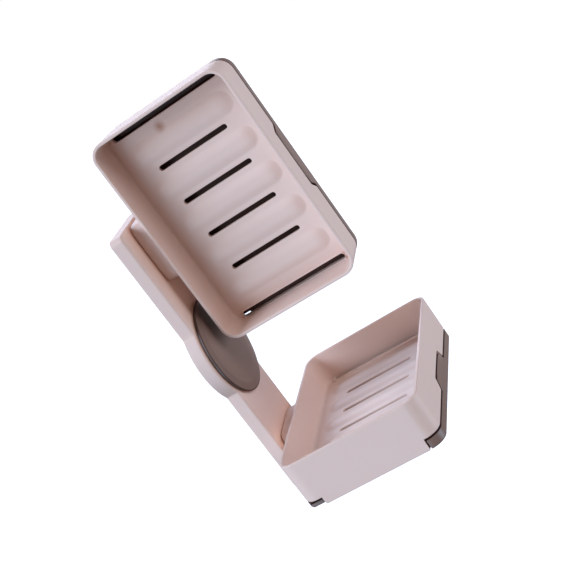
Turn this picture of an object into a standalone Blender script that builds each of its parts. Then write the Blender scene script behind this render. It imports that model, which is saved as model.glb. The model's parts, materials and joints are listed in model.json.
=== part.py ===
"""Double layer soap dish for a tiled wall.

A rail stands on the wall, held by a suction cup behind its round boss. A disc on the boss
turns to draw the cup tight. Each end of the rail carries a soap case on a swivel, and each
case holds a drip tray that slides out to the front.

Frame: the origin lies on the wall behind the middle of the rail, +Z runs up the rail, +Y
points into the wall and -Y to the front. "Out" means distance in front of the wall. Each
case is modelled level around its own swivel axis and turned by the empty that carries it.
Lengths are in metres.
"""
import math

import bmesh
import bpy
from mathutils import Matrix, Vector

# Rail
RAIL_WIDTH = 0.0472
RAIL_DEPTH = 0.0083
RAIL_OVERHANG = 0.020        # rail beyond each swivel axis
RAIL_CORNER = 0.0035
RAIL_EDGE = 0.0015           # rounding of the front edge
RAIL_WALL = 0.0022
BOSS_RADIUS = 0.031

# Soap case
CASE_LENGTH = 0.130
CASE_DEPTH = 0.086
CASE_CORNER = 0.009
CASE_WALL = 0.0019
CASE_TAPER = 0.035           # inset of the walls per metre below the rim
RIM_RISE = 0.0126            # rim above the swivel axis
CAVITY_DEPTH = 0.0194        # rim to floor
FLOOR_THICKNESS = 0.0018
FRONT_HEIGHT = 0.0228        # rim to the lower edge of the front and back walls
CASE_HEIGHT = 0.0298         # rim to the foot of the side skirts
SKIRT_WALL = 0.00165
SKIRT_BACK_SETBACK = 0.0115  # skirt's back end from the case's back
SKIRT_FRONT_SETBACK = 0.0093

# Floor of the case
SLOT_COUNT = 4
SLOT_PITCH = 0.0224
SLOT_LENGTH = 0.044
SLOT_WIDTH = 0.00285
END_SLOT_WIDTH = 0.003
END_SLOT_LENGTH = 0.069
END_SLOT_LEDGE = 0.0003      # floor left between an end slot and the wall
RIB_WIDTH = 0.014
RIB_LENGTH = 0.067
RIB_CORNER = 0.0056
RIB_CREST_CORNER = 0.0035
RIB_HEIGHT = 0.0014
RIB_SLOPE = 0.003            # width of a rib's sloping side

# Pull notch in the front wall and the tray's tab in it
NOTCH_WIDTH = 0.041
NOTCH_RISE = 0.0062
NOTCH_SLANT = 0.0035         # run of each slanted end
NOTCH_BACKING = 0.0018       # wall behind the notch
TAB_THICKNESS = 0.0015
TAB_SETBACK = 0.0001         # tab's face behind the tray's front

# Drip tray
TRAY_FLOOR = 0.0016
TRAY_WALL = 0.0016
TRAY_SIDE = 0.003
TRAY_CORNER = 0.007
RUNNER_REACH = 0.0015        # runner out of the skirt's inner face
RUNNER_HEIGHT = 0.0012
RUNNER_FOOT = 0.0028         # runner above the skirt's foot
RUNNER_SETBACK = 0.0015      # runner's ends inside the skirt's ends

# Neck block between rail and case
NECK_LENGTH = 0.0376
NECK_HEIGHT = 0.0208
NECK_DEPTH = 0.0079
NECK_GAP = 0.0005
NECK_POWER = 4.0             # squareness of the block's outline

# Swivel
SPIGOT_RADIUS = 0.005
HUB_FLANGE_RADIUS = 0.0095
HUB_FLANGE_THICKNESS = 0.0018
KEY_RADIUS = 0.00415         # corners of the hexagonal key
KEY_LENGTH = 0.0038
FRONT_WASHER_RADIUS = 0.0082
FRONT_WASHER_THICKNESS = 0.001
REAR_WASHER_RADIUS = 0.0092
REAR_WASHER_THICKNESS = 0.0008
SCREW_RADIUS = 0.0015
SCREW_TIP_RADIUS = 0.0006
SCREW_HEAD_RADIUS = 0.003
SCREW_HEAD_FACE_RADIUS = 0.0021
SCREW_HEAD_HEIGHT = 0.002
SCREW_HEAD_EDGE = 0.001      # height of the head's straight edge
SCREW_HEAD_SINK = 0.0007     # head inside the hub's rear face
SCREW_BITE = 0.0022          # screw in the neck beyond the key's tip
RECESS_WIDTH = 0.0007        # arms of the cross recess in a screw's head
RECESS_REACH = 0.0018
RECESS_DEPTH = 0.001

# Back plates and their screws
PLATE_THICKNESS = 0.0016
POST_RADIUS = 0.0032
POST_INSET = 0.0075          # outer posts from the rail's end and sides
INNER_POST_FROM_BOSS = 0.0095
PLATE_SCREW_RADIUS = 0.0012
PLATE_SCREW_TIP_RADIUS = 0.0004
PLATE_SCREW_HEAD_RADIUS = 0.0024
PLATE_SCREW_HEAD_HEIGHT = 0.0011
PLATE_SCREW_HEAD_EDGE = 0.0002
PLATE_SCREW_SINK = 0.0002    # head below the plate's face
PLATE_RECESS_REACH = 0.0013
PLATE_RECESS_DEPTH = 0.0008

# Boss, suction cup and lock disc
BOSS_WALL = 0.0022
POCKET_LIP = 0.004           # boss's front ring
POCKET_DEPTH = 0.003
WEB_THICKNESS = 0.0014
CUP_LIP = 0.0008             # thickness of the cup's edge, and its gap to the boss's wall
CUP_BODY = 0.0022
CUP_BODY_RADIUS = 0.013
CUP_CROWN_RADIUS = 0.0085
CUP_SKIN = 0.0007            # rubber in front of the stud's head
STUD_RADIUS = 0.0026
STUD_CHAMFER = 0.0008
STUD_HEAD_RADIUS = 0.005
STUD_HEAD_THICKNESS = 0.0008
STUD_TRAVEL = 0.0008         # towards the wall when the disc lets the cup go
STUD_TIP_GAP = 0.0005        # stud's tip to the disc's shell
DISC_RADIUS = 0.0302
DISC_RIM = 0.0013
DISC_BEVEL = 0.003           # width of the sloping band
DISC_BEVEL_RISE = 0.0013
DISC_CROWN = 0.0004
DISC_SHELL = 0.0015
DISC_GAP = 0.0006            # disc's rim clear of the boss
DISC_HUB_RADIUS = 0.0065
THRUST_WASHER_THICKNESS = 0.0006

# Clearances
REST_GAP = 0.0003            # between faces that rest on one another
TURN_GAP = 0.0003            # around what turns or slides
SWING_CLEARANCE = 0.0013     # between the two cases as they pass end to end

# Facets
CORNER_STEPS = 7
SMALL_CORNER_STEPS = 4
EDGE_STEPS = 4
SLOT_END_STEPS = 8
BOSS_ARC_STEPS = 20
ARM_ARC_STEPS = 12
NECK_STEPS = 48
ROUND_STEPS = 36
SMALL_ROUND_STEPS = 20
PLATE_SCREW_STEPS = 16
HEXAGON = 6
SHARP_ANGLE = 30             # degrees between faces above which an edge stays sharp

# Modelling allowances
MARGIN = 0.001               # cutters run this far past what they cut
OVERLAP = 0.0005             # joined bodies run this far into one another
LEAST_CORNER = 0.0005
CORNER_SHARE = 0.49          # largest corner radius as a share of the shorter side

# Places that follow from the sizes
FLOOR_TOP = RIM_RISE - CAVITY_DEPTH
FLOOR_UNDER = FLOOR_TOP - FLOOR_THICKNESS
WALL_FOOT = RIM_RISE - FRONT_HEIGHT
SKIRT_FOOT = RIM_RISE - CASE_HEIGHT
CASE_BACK = RAIL_DEPTH + NECK_GAP + NECK_DEPTH
CASE_FRONT = CASE_BACK + CASE_DEPTH
CASE_MIDDLE = (CASE_BACK + CASE_FRONT) / 2
SKIRT_BACK = CASE_BACK + SKIRT_BACK_SETBACK
SKIRT_FRONT = CASE_FRONT - SKIRT_FRONT_SETBACK
FOOT_INSET = CASE_TAPER * CASE_HEIGHT
BAY_HALF = CASE_LENGTH / 2 - FOOT_INSET - SKIRT_WALL
FLOOR_INSET = CASE_TAPER * CAVITY_DEPTH + CASE_WALL
CASE_REACH = max(
    math.hypot(CASE_LENGTH / 2, RIM_RISE),
    math.hypot(CASE_LENGTH / 2 - FOOT_INSET, SKIRT_FOOT),
)
PIVOT_HEIGHT = CASE_REACH + SWING_CLEARANCE
RAIL_HALF_WIDTH = RAIL_WIDTH / 2
RAIL_HALF_LENGTH = PIVOT_HEIGHT + RAIL_OVERHANG
WEB_INNER = RAIL_DEPTH - RAIL_WALL
POCKET_FLOOR = RAIL_DEPTH - POCKET_DEPTH
WEB_BACK = POCKET_FLOOR - WEB_THICKNESS
HOLLOW_CORNER = max(RAIL_CORNER - RAIL_WALL, LEAST_CORNER)
FRONT_WASHER_BACK = RAIL_DEPTH + REST_GAP
WASHER_SEAT = FRONT_WASHER_BACK + FRONT_WASHER_THICKNESS + REST_GAP
KEY_FLOOR = WASHER_SEAT + KEY_LENGTH

# Turns what is modelled along +Z to face out of the wall
OUTWARD = Matrix.Rotation(math.radians(90), 4, "X")

PINK = (0.62, 0.50, 0.49)
TAUPE = (0.17, 0.135, 0.125)
MILKY = (0.75, 0.76, 0.76)
STEEL = (0.55, 0.55, 0.56)
CLEAR_RUBBER = (0.70, 0.72, 0.74)

for old_object in list(bpy.data.objects):
    bpy.data.objects.remove(old_object, do_unlink=True)

scene = bpy.context.scene
parts = bpy.data.collections.new("double_layer_soap_dish")
cutters = bpy.data.collections.new("cutters")
scene.collection.children.link(parts)
scene.collection.children.link(cutters)


def principled(name, colour, roughness, metallic=0.0):
    """A plain Principled material."""
    material = bpy.data.materials.new(name)
    material.use_nodes = True
    shader = material.node_tree.nodes["Principled BSDF"]
    shader.inputs["Base Color"].default_value = (*colour, 1.0)
    shader.inputs["Roughness"].default_value = roughness
    shader.inputs["Metallic"].default_value = metallic
    return material


def add_object(name, mesh, parent=None, material=None):
    """Link a mesh as a part, or as a cutter where it has no material."""
    piece = bpy.data.objects.new(name, mesh)
    if material is None:
        cutters.objects.link(piece)
        piece.hide_render = True
        piece.display_type = "WIRE"
    else:
        parts.objects.link(piece)
        mesh.materials.append(material)
        mesh.shade_smooth()
        mesh.set_sharp_from_angle(angle=math.radians(SHARP_ANGLE))
    piece.parent = parent
    return piece


def boolean(piece, tool, operation):
    """Join or cut a piece with a tool object."""
    step = piece.modifiers.new(tool.name, "BOOLEAN")
    step.operation = operation
    step.object = tool
    step.solver = "EXACT"


def arc(centre, radius, first, last, steps):
    """Points along an arc, between two angles in degrees."""
    points = []
    for step in range(steps + 1):
        angle = math.radians(first + (last - first) * step / steps)
        points.append((centre[0] + radius * math.cos(angle), centre[1] + radius * math.sin(angle)))
    return points


def rounded_outline(low, high, radius, steps=CORNER_STEPS):
    """Counter-clockwise points of a rectangle with rounded corners."""
    radius = min(radius, CORNER_SHARE * (high[0] - low[0]), CORNER_SHARE * (high[1] - low[1]))
    left, right = low[0] + radius, high[0] - radius
    foot, top = low[1] + radius, high[1] - radius
    points = arc((right, foot), radius, -90, 0, steps)
    points += arc((right, top), radius, 0, 90, steps)
    points += arc((left, top), radius, 90, 180, steps)
    points += arc((left, foot), radius, 180, 270, steps)
    return points


def ring_at(height, outline):
    """An outline in plan, lifted to a height."""
    return [(across, along, height) for across, along in outline]


def loft(rings):
    """A closed mesh through rings of equal point counts, one above another."""
    mesh = bpy.data.meshes.new("loft")
    shape = bmesh.new()
    loops = [[shape.verts.new(point) for point in ring] for ring in rings]
    for lower, upper in zip(loops, loops[1:]):
        for index in range(len(lower)):
            following = (index + 1) % len(lower)
            shape.faces.new((lower[index], lower[following], upper[following], upper[index]))
    shape.faces.new(list(reversed(loops[0])))
    shape.faces.new(loops[-1])
    bmesh.ops.recalc_face_normals(shape, faces=shape.faces)
    shape.to_mesh(mesh)
    shape.free()
    return mesh


def plan_prism(points, foot, top):
    """A flat outline in X and Y, extruded from one height to another."""
    curve = bpy.data.curves.new("outline", "CURVE")
    curve.dimensions = "2D"
    curve.fill_mode = "BOTH"
    curve.extrude = (top - foot) / 2
    spline = curve.splines.new("POLY")
    spline.points.add(len(points) - 1)
    for point, (across, along) in zip(spline.points, points):
        point.co = (across, along, 0.0, 1.0)
    spline.use_cyclic_u = True
    holder = bpy.data.objects.new("outline", curve)
    scene.collection.objects.link(holder)
    depsgraph = bpy.context.evaluated_depsgraph_get()
    mesh = bpy.data.meshes.new_from_object(holder.evaluated_get(depsgraph))
    bpy.data.objects.remove(holder)
    shape = bmesh.new()
    shape.from_mesh(mesh)
    bmesh.ops.remove_doubles(shape, verts=shape.verts, dist=1e-6)
    bmesh.ops.dissolve_limit(shape, angle_limit=1e-3, verts=shape.verts, edges=shape.edges)
    bmesh.ops.recalc_face_normals(shape, faces=shape.faces)
    shape.transform(Matrix.Translation((0, 0, (foot + top) / 2)))
    shape.to_mesh(mesh)
    shape.free()
    return mesh


def front_prism(points, near, far):
    """A flat outline in X and Z, extruded from one distance out of the wall to another."""
    mesh = plan_prism(points, near, far)
    mesh.transform(OUTWARD)
    return mesh


def box(low, high):
    """A box between two corners."""
    mesh = bpy.data.meshes.new("box")
    shape = bmesh.new()
    size = Vector(high) - Vector(low)
    place = Matrix.Translation((Vector(low) + Vector(high)) / 2) @ Matrix.Diagonal((*size, 1.0))
    bmesh.ops.create_cube(shape, size=1.0, matrix=place)
    shape.to_mesh(mesh)
    shape.free()
    return mesh


def side_box(sign, near, far, back, front, foot, top):
    """A box on one side of the case, between two distances across, out and up."""
    low = (min(sign * near, sign * far), -front, foot)
    high = (max(sign * near, sign * far), -back, top)
    return box(low, high)


def rod(radius, near, far, centre=(0.0, 0.0), sides=SMALL_ROUND_STEPS):
    """A cylinder or a prism between two distances out of the wall."""
    mesh = bpy.data.meshes.new("rod")
    shape = bmesh.new()
    place = Matrix.Translation((centre[0], -(near + far) / 2, centre[1]))
    bmesh.ops.create_cone(
        shape, cap_ends=True, segments=sides, radius1=radius, radius2=radius,
        depth=far - near, matrix=place @ OUTWARD,
    )
    shape.to_mesh(mesh)
    shape.free()
    return mesh


def merge_meshes(meshes):
    """One mesh that holds several closed bodies which don't meet."""
    merged = bpy.data.meshes.new("bodies")
    shape = bmesh.new()
    for mesh in meshes:
        shape.from_mesh(mesh)
    shape.to_mesh(merged)
    shape.free()
    return merged


def turned(name, profile, material, parent=None, closed=False, steps=ROUND_STEPS):
    """A turned piece: its profile holds radius and distance out, down its outer side first."""
    mesh = bpy.data.meshes.new(name)
    shape = bmesh.new()
    corners = [shape.verts.new((radius, 0.0, out)) for radius, out in profile]
    for first, second in zip(corners, corners[1:]):
        shape.edges.new((first, second))
    if closed:
        shape.edges.new((corners[-1], corners[0]))
    shape.to_mesh(mesh)
    shape.free()
    piece = add_object(name, mesh, parent, material)
    piece.rotation_euler = OUTWARD.to_euler()
    screw = piece.modifiers.new("turn", "SCREW")
    screw.steps = steps
    screw.render_steps = steps
    screw.use_merge_vertices = True
    screw.merge_threshold = 0.00001
    return piece


def cut_cross(screw, reach, face, depth, place=(0.0, 0.0), parent=None):
    """Cut a cross recess into a screw's head, one pair of arms after the other."""
    half = RECESS_WIDTH / 2
    for label, half_x, half_z in (("_recess_across", reach, half), ("_recess_upright", half, reach)):
        low = (place[0] - half_x, -face - depth, place[1] - half_z)
        high = (place[0] + half_x, -face + MARGIN, place[1] + half_z)
        boolean(screw, add_object(screw.name + label, box(low, high), parent), "DIFFERENCE")


def case_outline(height, inward=0.0):
    """Plan outline of the case's outer wall at a height, moved inward."""
    inset = CASE_TAPER * (RIM_RISE - height) + inward
    low = (-CASE_LENGTH / 2 + inset, -CASE_FRONT + inset)
    high = (CASE_LENGTH / 2 - inset, -CASE_BACK - inset)
    return rounded_outline(low, high, max(CASE_CORNER - inset, LEAST_CORNER))


def notch_outline(shrink, foot):
    """Outline of the pull notch in X and Z, with slanted ends, drawn in all round."""
    lower = NOTCH_WIDTH / 2 - shrink
    upper = lower - NOTCH_SLANT
    top = WALL_FOOT + NOTCH_RISE - shrink
    half = [(lower, foot), (lower, WALL_FOOT), (upper, top)]
    return half + [(-across, up) for across, up in reversed(half)]


def neck_outline():
    """Outline of the neck block in X and Z: a superellipse."""
    points = []
    for step in range(NECK_STEPS):
        angle = 2 * math.pi * step / NECK_STEPS
        cosine, sine = math.cos(angle), math.sin(angle)
        across = math.copysign(abs(cosine) ** (2 / NECK_POWER), cosine) * NECK_LENGTH / 2
        up = math.copysign(abs(sine) ** (2 / NECK_POWER), sine) * NECK_HEIGHT / 2
        points.append((across, up))
    return points


def floor_slot(centre_x, width, length):
    """A cutter for a slot through the case's floor, long from back to front."""
    radius = width / 2
    reach = length / 2 - radius
    outline = arc((centre_x, -CASE_MIDDLE - reach), radius, 180, 360, SLOT_END_STEPS)
    outline += arc((centre_x, -CASE_MIDDLE + reach), radius, 0, 180, SLOT_END_STEPS)
    return plan_prism(outline, FLOOR_UNDER - OVERLAP, FLOOR_TOP + RIB_HEIGHT + MARGIN)


def floor_rib(centre_x):
    """A low pad across the floor with sloping sides."""
    low = (centre_x - RIB_WIDTH / 2, -CASE_MIDDLE - RIB_LENGTH / 2)
    high = (centre_x + RIB_WIDTH / 2, -CASE_MIDDLE + RIB_LENGTH / 2)
    crest_low = (low[0] + RIB_SLOPE, low[1] + RIB_SLOPE)
    crest_high = (high[0] - RIB_SLOPE, high[1] - RIB_SLOPE)
    foot = rounded_outline(low, high, RIB_CORNER, SMALL_CORNER_STEPS)
    crest = rounded_outline(crest_low, crest_high, RIB_CREST_CORNER, SMALL_CORNER_STEPS)
    root = (FLOOR_TOP + FLOOR_UNDER) / 2
    return loft([ring_at(root, foot), ring_at(FLOOR_TOP, foot), ring_at(FLOOR_TOP + RIB_HEIGHT, crest)])


def soap_case(prefix, pivot, material):
    """The case: walls, slotted and ribbed floor, side skirts with runners, and the neck."""
    outer = loft([ring_at(SKIRT_FOOT, case_outline(SKIRT_FOOT)), ring_at(RIM_RISE, case_outline(RIM_RISE))])
    case = add_object(prefix + "_soap_case", outer, pivot, material)

    # The soap cavity above the floor and the tray's bay below it
    above = RIM_RISE + MARGIN
    cavity = loft([
        ring_at(FLOOR_TOP, case_outline(FLOOR_TOP, CASE_WALL)),
        ring_at(above, case_outline(above, CASE_WALL)),
    ])
    bay = plan_prism(case_outline(SKIRT_FOOT, SKIRT_WALL), SKIRT_FOOT - MARGIN, FLOOR_UNDER)
    boolean(case, add_object(prefix + "_case_hollows", merge_meshes([cavity, bay]), pivot), "DIFFERENCE")

    # The front and back walls end above the skirts' feet
    side = CASE_LENGTH / 2 + MARGIN
    below = SKIRT_FOOT - MARGIN
    ends = merge_meshes([
        box((-side, -CASE_FRONT - MARGIN, below), (side, -SKIRT_FRONT, WALL_FOOT)),
        box((-side, -SKIRT_BACK, below), (side, -CASE_BACK + MARGIN, WALL_FOOT)),
    ])
    boolean(case, add_object(prefix + "_case_ends", ends, pivot), "DIFFERENCE")

    # Ribs on the floor between the slots, runners on the skirts, and the wall behind the notch
    added = [floor_rib((index - SLOT_COUNT / 2) * SLOT_PITCH) for index in range(SLOT_COUNT + 1)]
    for sign in (-1, 1):
        added.append(side_box(
            sign, BAY_HALF - RUNNER_REACH, BAY_HALF + OVERLAP,
            SKIRT_BACK + RUNNER_SETBACK, SKIRT_FRONT - RUNNER_SETBACK,
            SKIRT_FOOT + RUNNER_FOOT, SKIRT_FOOT + RUNNER_FOOT + RUNNER_HEIGHT,
        ))
    wall_inside = CASE_FRONT - FLOOR_INSET
    backing_half = NOTCH_WIDTH / 2 + NOTCH_BACKING
    added.append(box(
        (-backing_half, -wall_inside - OVERLAP, FLOOR_TOP - OVERLAP),
        (backing_half, -wall_inside + NOTCH_BACKING, WALL_FOOT + NOTCH_RISE + NOTCH_BACKING),
    ))
    boolean(case, add_object(prefix + "_case_additions", merge_meshes(added), pivot), "UNION")

    # The neck block that stands between the case and the rail
    neck = front_prism(neck_outline(), RAIL_DEPTH + NECK_GAP, CASE_BACK + CASE_WALL / 2)
    boolean(case, add_object(prefix + "_neck", neck, pivot), "UNION")

    # Slots, pull notch and washer seat
    cuts = [
        floor_slot((index - (SLOT_COUNT - 1) / 2) * SLOT_PITCH, SLOT_WIDTH, SLOT_LENGTH)
        for index in range(SLOT_COUNT)
    ]
    end_slot = CASE_LENGTH / 2 - FLOOR_INSET - END_SLOT_LEDGE - END_SLOT_WIDTH / 2
    cuts += [floor_slot(sign * end_slot, END_SLOT_WIDTH, END_SLOT_LENGTH) for sign in (-1, 1)]
    cuts.append(front_prism(notch_outline(0.0, WALL_FOOT - MARGIN), wall_inside, CASE_FRONT + MARGIN))
    cuts.append(rod(FRONT_WASHER_RADIUS + REST_GAP, RAIL_DEPTH, WASHER_SEAT, sides=ROUND_STEPS))
    boolean(case, add_object(prefix + "_case_cuts", merge_meshes(cuts), pivot), "DIFFERENCE")

    # Key socket and pilot hole in the neck, one inside the other
    socket = rod(KEY_RADIUS + TURN_GAP, WASHER_SEAT - OVERLAP, KEY_FLOOR, sides=HEXAGON)
    pilot = rod(SCREW_RADIUS + TURN_GAP, KEY_FLOOR - OVERLAP, KEY_FLOOR + SCREW_BITE)
    boolean(case, add_object(prefix + "_key_socket", socket, pivot), "DIFFERENCE")
    boolean(case, add_object(prefix + "_pilot", pilot, pivot), "DIFFERENCE")


def drip_tray(prefix, pivot, material):
    """The tray: a pan that slides between the skirts, with a full-width front and a pull tab."""
    foot = SKIRT_FOOT
    top = WALL_FOOT - TURN_GAP
    outer = loft([ring_at(foot, case_outline(foot)), ring_at(top, case_outline(top))])
    tray = add_object(prefix + "_drip_tray", outer, pivot, material)

    # Behind its front the tray is narrow enough to pass between the skirts, on their runners
    half = BAY_HALF - TURN_GAP
    far = CASE_LENGTH / 2 + MARGIN
    back = CASE_BACK - MARGIN
    front = SKIRT_FRONT + TURN_GAP
    groove_foot = SKIRT_FOOT + RUNNER_FOOT - TURN_GAP
    groove_top = SKIRT_FOOT + RUNNER_FOOT + RUNNER_HEIGHT + TURN_GAP
    trims = [side_box(sign, half, far, back, front, foot - MARGIN, top + MARGIN) for sign in (-1, 1)]
    grooves = [
        side_box(sign, half - RUNNER_REACH, far, back, front, groove_foot, groove_top)
        for sign in (-1, 1)
    ]
    boolean(tray, add_object(prefix + "_tray_sides", merge_meshes(trims), pivot), "DIFFERENCE")
    boolean(tray, add_object(prefix + "_tray_grooves", merge_meshes(grooves), pivot), "DIFFERENCE")

    # The pan
    pan_half = half - TRAY_SIDE
    low = (-pan_half, -CASE_FRONT + FOOT_INSET + TRAY_WALL)
    high = (pan_half, -CASE_BACK - FOOT_INSET - TRAY_WALL)
    pan = plan_prism(rounded_outline(low, high, TRAY_CORNER), foot + TRAY_FLOOR, top + MARGIN)
    boolean(tray, add_object(prefix + "_tray_pan", pan, pivot), "DIFFERENCE")

    # The tab stands in the notch, flush with the case's front
    face = CASE_FRONT - CASE_TAPER * (RIM_RISE - top) - TAB_SETBACK
    tab = front_prism(notch_outline(TURN_GAP, top - OVERLAP), face - TAB_THICKNESS, face)
    boolean(tray, add_object(prefix + "_tray_tab", tab, pivot), "UNION")


def swivel(prefix, pivot, plastic, steel):
    """The hub that turns in the rail, its two slip washers and the screw that holds it."""
    rear_far = WEB_INNER - REST_GAP
    rear_near = rear_far - REAR_WASHER_THICKNESS
    flange_far = rear_near - REST_GAP
    flange_near = flange_far - HUB_FLANGE_THICKNESS
    shoulder = WASHER_SEAT - REST_GAP
    key_tip = shoulder + KEY_LENGTH
    head_near = flange_near + SCREW_HEAD_SINK
    head_far = head_near + SCREW_HEAD_HEIGHT
    head_seat = head_far + REST_GAP
    head_bore = SCREW_HEAD_RADIUS + TURN_GAP

    # The hub: a flanged spigot with a hexagonal key on its tip
    hub_profile = [
        (0.0, shoulder), (SPIGOT_RADIUS, shoulder), (SPIGOT_RADIUS, flange_far),
        (HUB_FLANGE_RADIUS, flange_far), (HUB_FLANGE_RADIUS, flange_near),
        (head_bore, flange_near), (head_bore, head_seat), (0.0, head_seat),
    ]
    hub = turned(prefix + "_swivel_hub", hub_profile, plastic, pivot)
    key = rod(KEY_RADIUS, shoulder - OVERLAP, key_tip, sides=HEXAGON)
    bore = rod(SCREW_RADIUS + TURN_GAP, head_seat - MARGIN, key_tip + MARGIN)
    boolean(hub, add_object(prefix + "_hub_key", key, pivot), "UNION")
    boolean(hub, add_object(prefix + "_hub_bore", bore, pivot), "DIFFERENCE")

    # Slip washers before and behind the rail's front wall
    front_far = FRONT_WASHER_BACK + FRONT_WASHER_THICKNESS
    washer_bore = SPIGOT_RADIUS + TURN_GAP
    for label, near, far, radius in (
        ("_front_washer", FRONT_WASHER_BACK, front_far, FRONT_WASHER_RADIUS),
        ("_rear_washer", rear_near, rear_far, REAR_WASHER_RADIUS),
    ):
        ring = [(washer_bore, far), (radius, far), (radius, near), (washer_bore, near)]
        turned(prefix + label, ring, plastic, pivot, closed=True)

    # The screw
    tip = key_tip + SCREW_BITE
    point_length = SCREW_RADIUS - SCREW_TIP_RADIUS
    screw_profile = [
        (0.0, tip), (SCREW_TIP_RADIUS, tip), (SCREW_RADIUS, tip - point_length), (SCREW_RADIUS, head_far),
        (SCREW_HEAD_RADIUS, head_far), (SCREW_HEAD_RADIUS, head_far - SCREW_HEAD_EDGE),
        (SCREW_HEAD_FACE_RADIUS, head_near), (0.0, head_near),
    ]
    screw = turned(prefix + "_swivel_screw", screw_profile, steel, pivot, steps=SMALL_ROUND_STEPS)
    cut_cross(screw, RECESS_REACH, head_near, RECESS_DEPTH, parent=pivot)


def arm_outline(sign, side, end, ring_radius, corner):
    """One arm of the rail in X and Z: straight sides, rounded end, and an arc round the boss."""
    turn = math.degrees(math.asin(side / ring_radius))
    points = arc((0.0, 0.0), ring_radius, 90 - turn, 90 + turn, ARM_ARC_STEPS)
    points += arc((-side + corner, end - corner), corner, 180, 90, SMALL_CORNER_STEPS)
    points += arc((side - corner, end - corner), corner, 90, 0, SMALL_CORNER_STEPS)
    return [(across, sign * up) for across, up in points]


def rail_outline(inset):
    """Outline of the rail and its boss in X and Z, moved inward."""
    side = RAIL_HALF_WIDTH - inset
    end = RAIL_HALF_LENGTH - inset
    radius = BOSS_RADIUS - inset
    corner = RAIL_CORNER
    turn = math.degrees(math.acos(side / radius))
    points = arc((0.0, 0.0), radius, -turn, turn, BOSS_ARC_STEPS)
    points += arc((side - corner, end - corner), corner, 0, 90, SMALL_CORNER_STEPS)
    points += arc((-side + corner, end - corner), corner, 90, 180, SMALL_CORNER_STEPS)
    points += arc((0.0, 0.0), radius, 180 - turn, 180 + turn, BOSS_ARC_STEPS)
    points += arc((-side + corner, -end + corner), corner, 180, 270, SMALL_CORNER_STEPS)
    points += arc((side - corner, -end + corner), corner, 270, 360, SMALL_CORNER_STEPS)
    return points


def post_places(sign):
    """Middles of one back plate's three screw posts, in X and Z."""
    across = RAIL_HALF_WIDTH - POST_INSET
    outer = sign * (RAIL_HALF_LENGTH - POST_INSET)
    inner = sign * (BOSS_RADIUS + INNER_POST_FROM_BOSS)
    return [(-across, outer), (across, outer), (0.0, inner)]


def rail_shell(material):
    """The rail: a moulding open at the back, with the boss, its pocket and the swivel bores."""
    rings = [[(across, 0.0, up) for across, up in rail_outline(0.0)]]
    for step in range(EDGE_STEPS + 1):
        angle = math.radians(90 * step / EDGE_STEPS)
        inset = RAIL_EDGE * (1 - math.cos(angle))
        out = RAIL_DEPTH - RAIL_EDGE * (1 - math.sin(angle))
        rings.append([(across, -out, up) for across, up in rail_outline(inset)])
    shell = add_object("rail_shell", loft(rings), None, material)

    # The two arms and the boss are hollow from the back
    side = RAIL_HALF_WIDTH - RAIL_WALL
    end = RAIL_HALF_LENGTH - RAIL_WALL
    hollows = [
        front_prism(arm_outline(sign, side, end, BOSS_RADIUS, HOLLOW_CORNER), -MARGIN, WEB_INNER)
        for sign in (-1, 1)
    ]
    hollows.append(rod(BOSS_RADIUS - BOSS_WALL, -MARGIN, WEB_BACK, sides=ROUND_STEPS))
    hollows.append(rod(BOSS_RADIUS - POCKET_LIP, POCKET_FLOOR, RAIL_DEPTH + MARGIN, sides=ROUND_STEPS))
    boolean(shell, add_object("rail_hollows", merge_meshes(hollows)), "DIFFERENCE")

    # Posts for the back plates' screws
    places = post_places(-1) + post_places(1)
    posts = [rod(POST_RADIUS, PLATE_THICKNESS + REST_GAP, WEB_INNER + OVERLAP, place) for place in places]
    boolean(shell, add_object("rail_posts", merge_meshes(posts)), "UNION")

    # Pilot holes, the bore for the stud and the bores for the swivel hubs
    bores = [rod(PLATE_SCREW_RADIUS + TURN_GAP, -MARGIN, WEB_INNER, place) for place in places]
    bores.append(rod(STUD_RADIUS + TURN_GAP, WEB_BACK - MARGIN, POCKET_FLOOR + MARGIN))
    for height in (-PIVOT_HEIGHT, PIVOT_HEIGHT):
        spigot_bore = SPIGOT_RADIUS + TURN_GAP
        bores.append(rod(spigot_bore, WEB_INNER - MARGIN, RAIL_DEPTH + MARGIN, (0.0, height), ROUND_STEPS))
    boolean(shell, add_object("rail_bores", merge_meshes(bores)), "DIFFERENCE")


def back_plates(material):
    """The plates that close the rail's arms, with a countersunk hole for each screw."""
    side = RAIL_HALF_WIDTH - RAIL_WALL - REST_GAP
    end = RAIL_HALF_LENGTH - RAIL_WALL - REST_GAP
    head_bore = PLATE_SCREW_HEAD_RADIUS + TURN_GAP
    shank_bore = PLATE_SCREW_RADIUS + TURN_GAP
    head_foot = PLATE_SCREW_SINK + PLATE_SCREW_HEAD_HEIGHT + TURN_GAP
    hole_profile = [
        (0.0, PLATE_THICKNESS + MARGIN), (shank_bore, PLATE_THICKNESS + MARGIN), (shank_bore, head_foot),
        (head_bore, PLATE_SCREW_SINK), (head_bore, -MARGIN), (0.0, -MARGIN),
    ]
    for name, sign in (("upper_back_plate", 1), ("lower_back_plate", -1)):
        outline = arm_outline(sign, side, end, BOSS_RADIUS + REST_GAP, HOLLOW_CORNER)
        plate = add_object(name, front_prism(outline, 0.0, PLATE_THICKNESS), None, material)
        for number, place in enumerate(post_places(sign), start=1):
            hole = turned(f"{name}_hole_{number}", hole_profile, None, steps=PLATE_SCREW_STEPS)
            hole.location = (place[0], 0.0, place[1])
            boolean(plate, hole, "DIFFERENCE")


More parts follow.
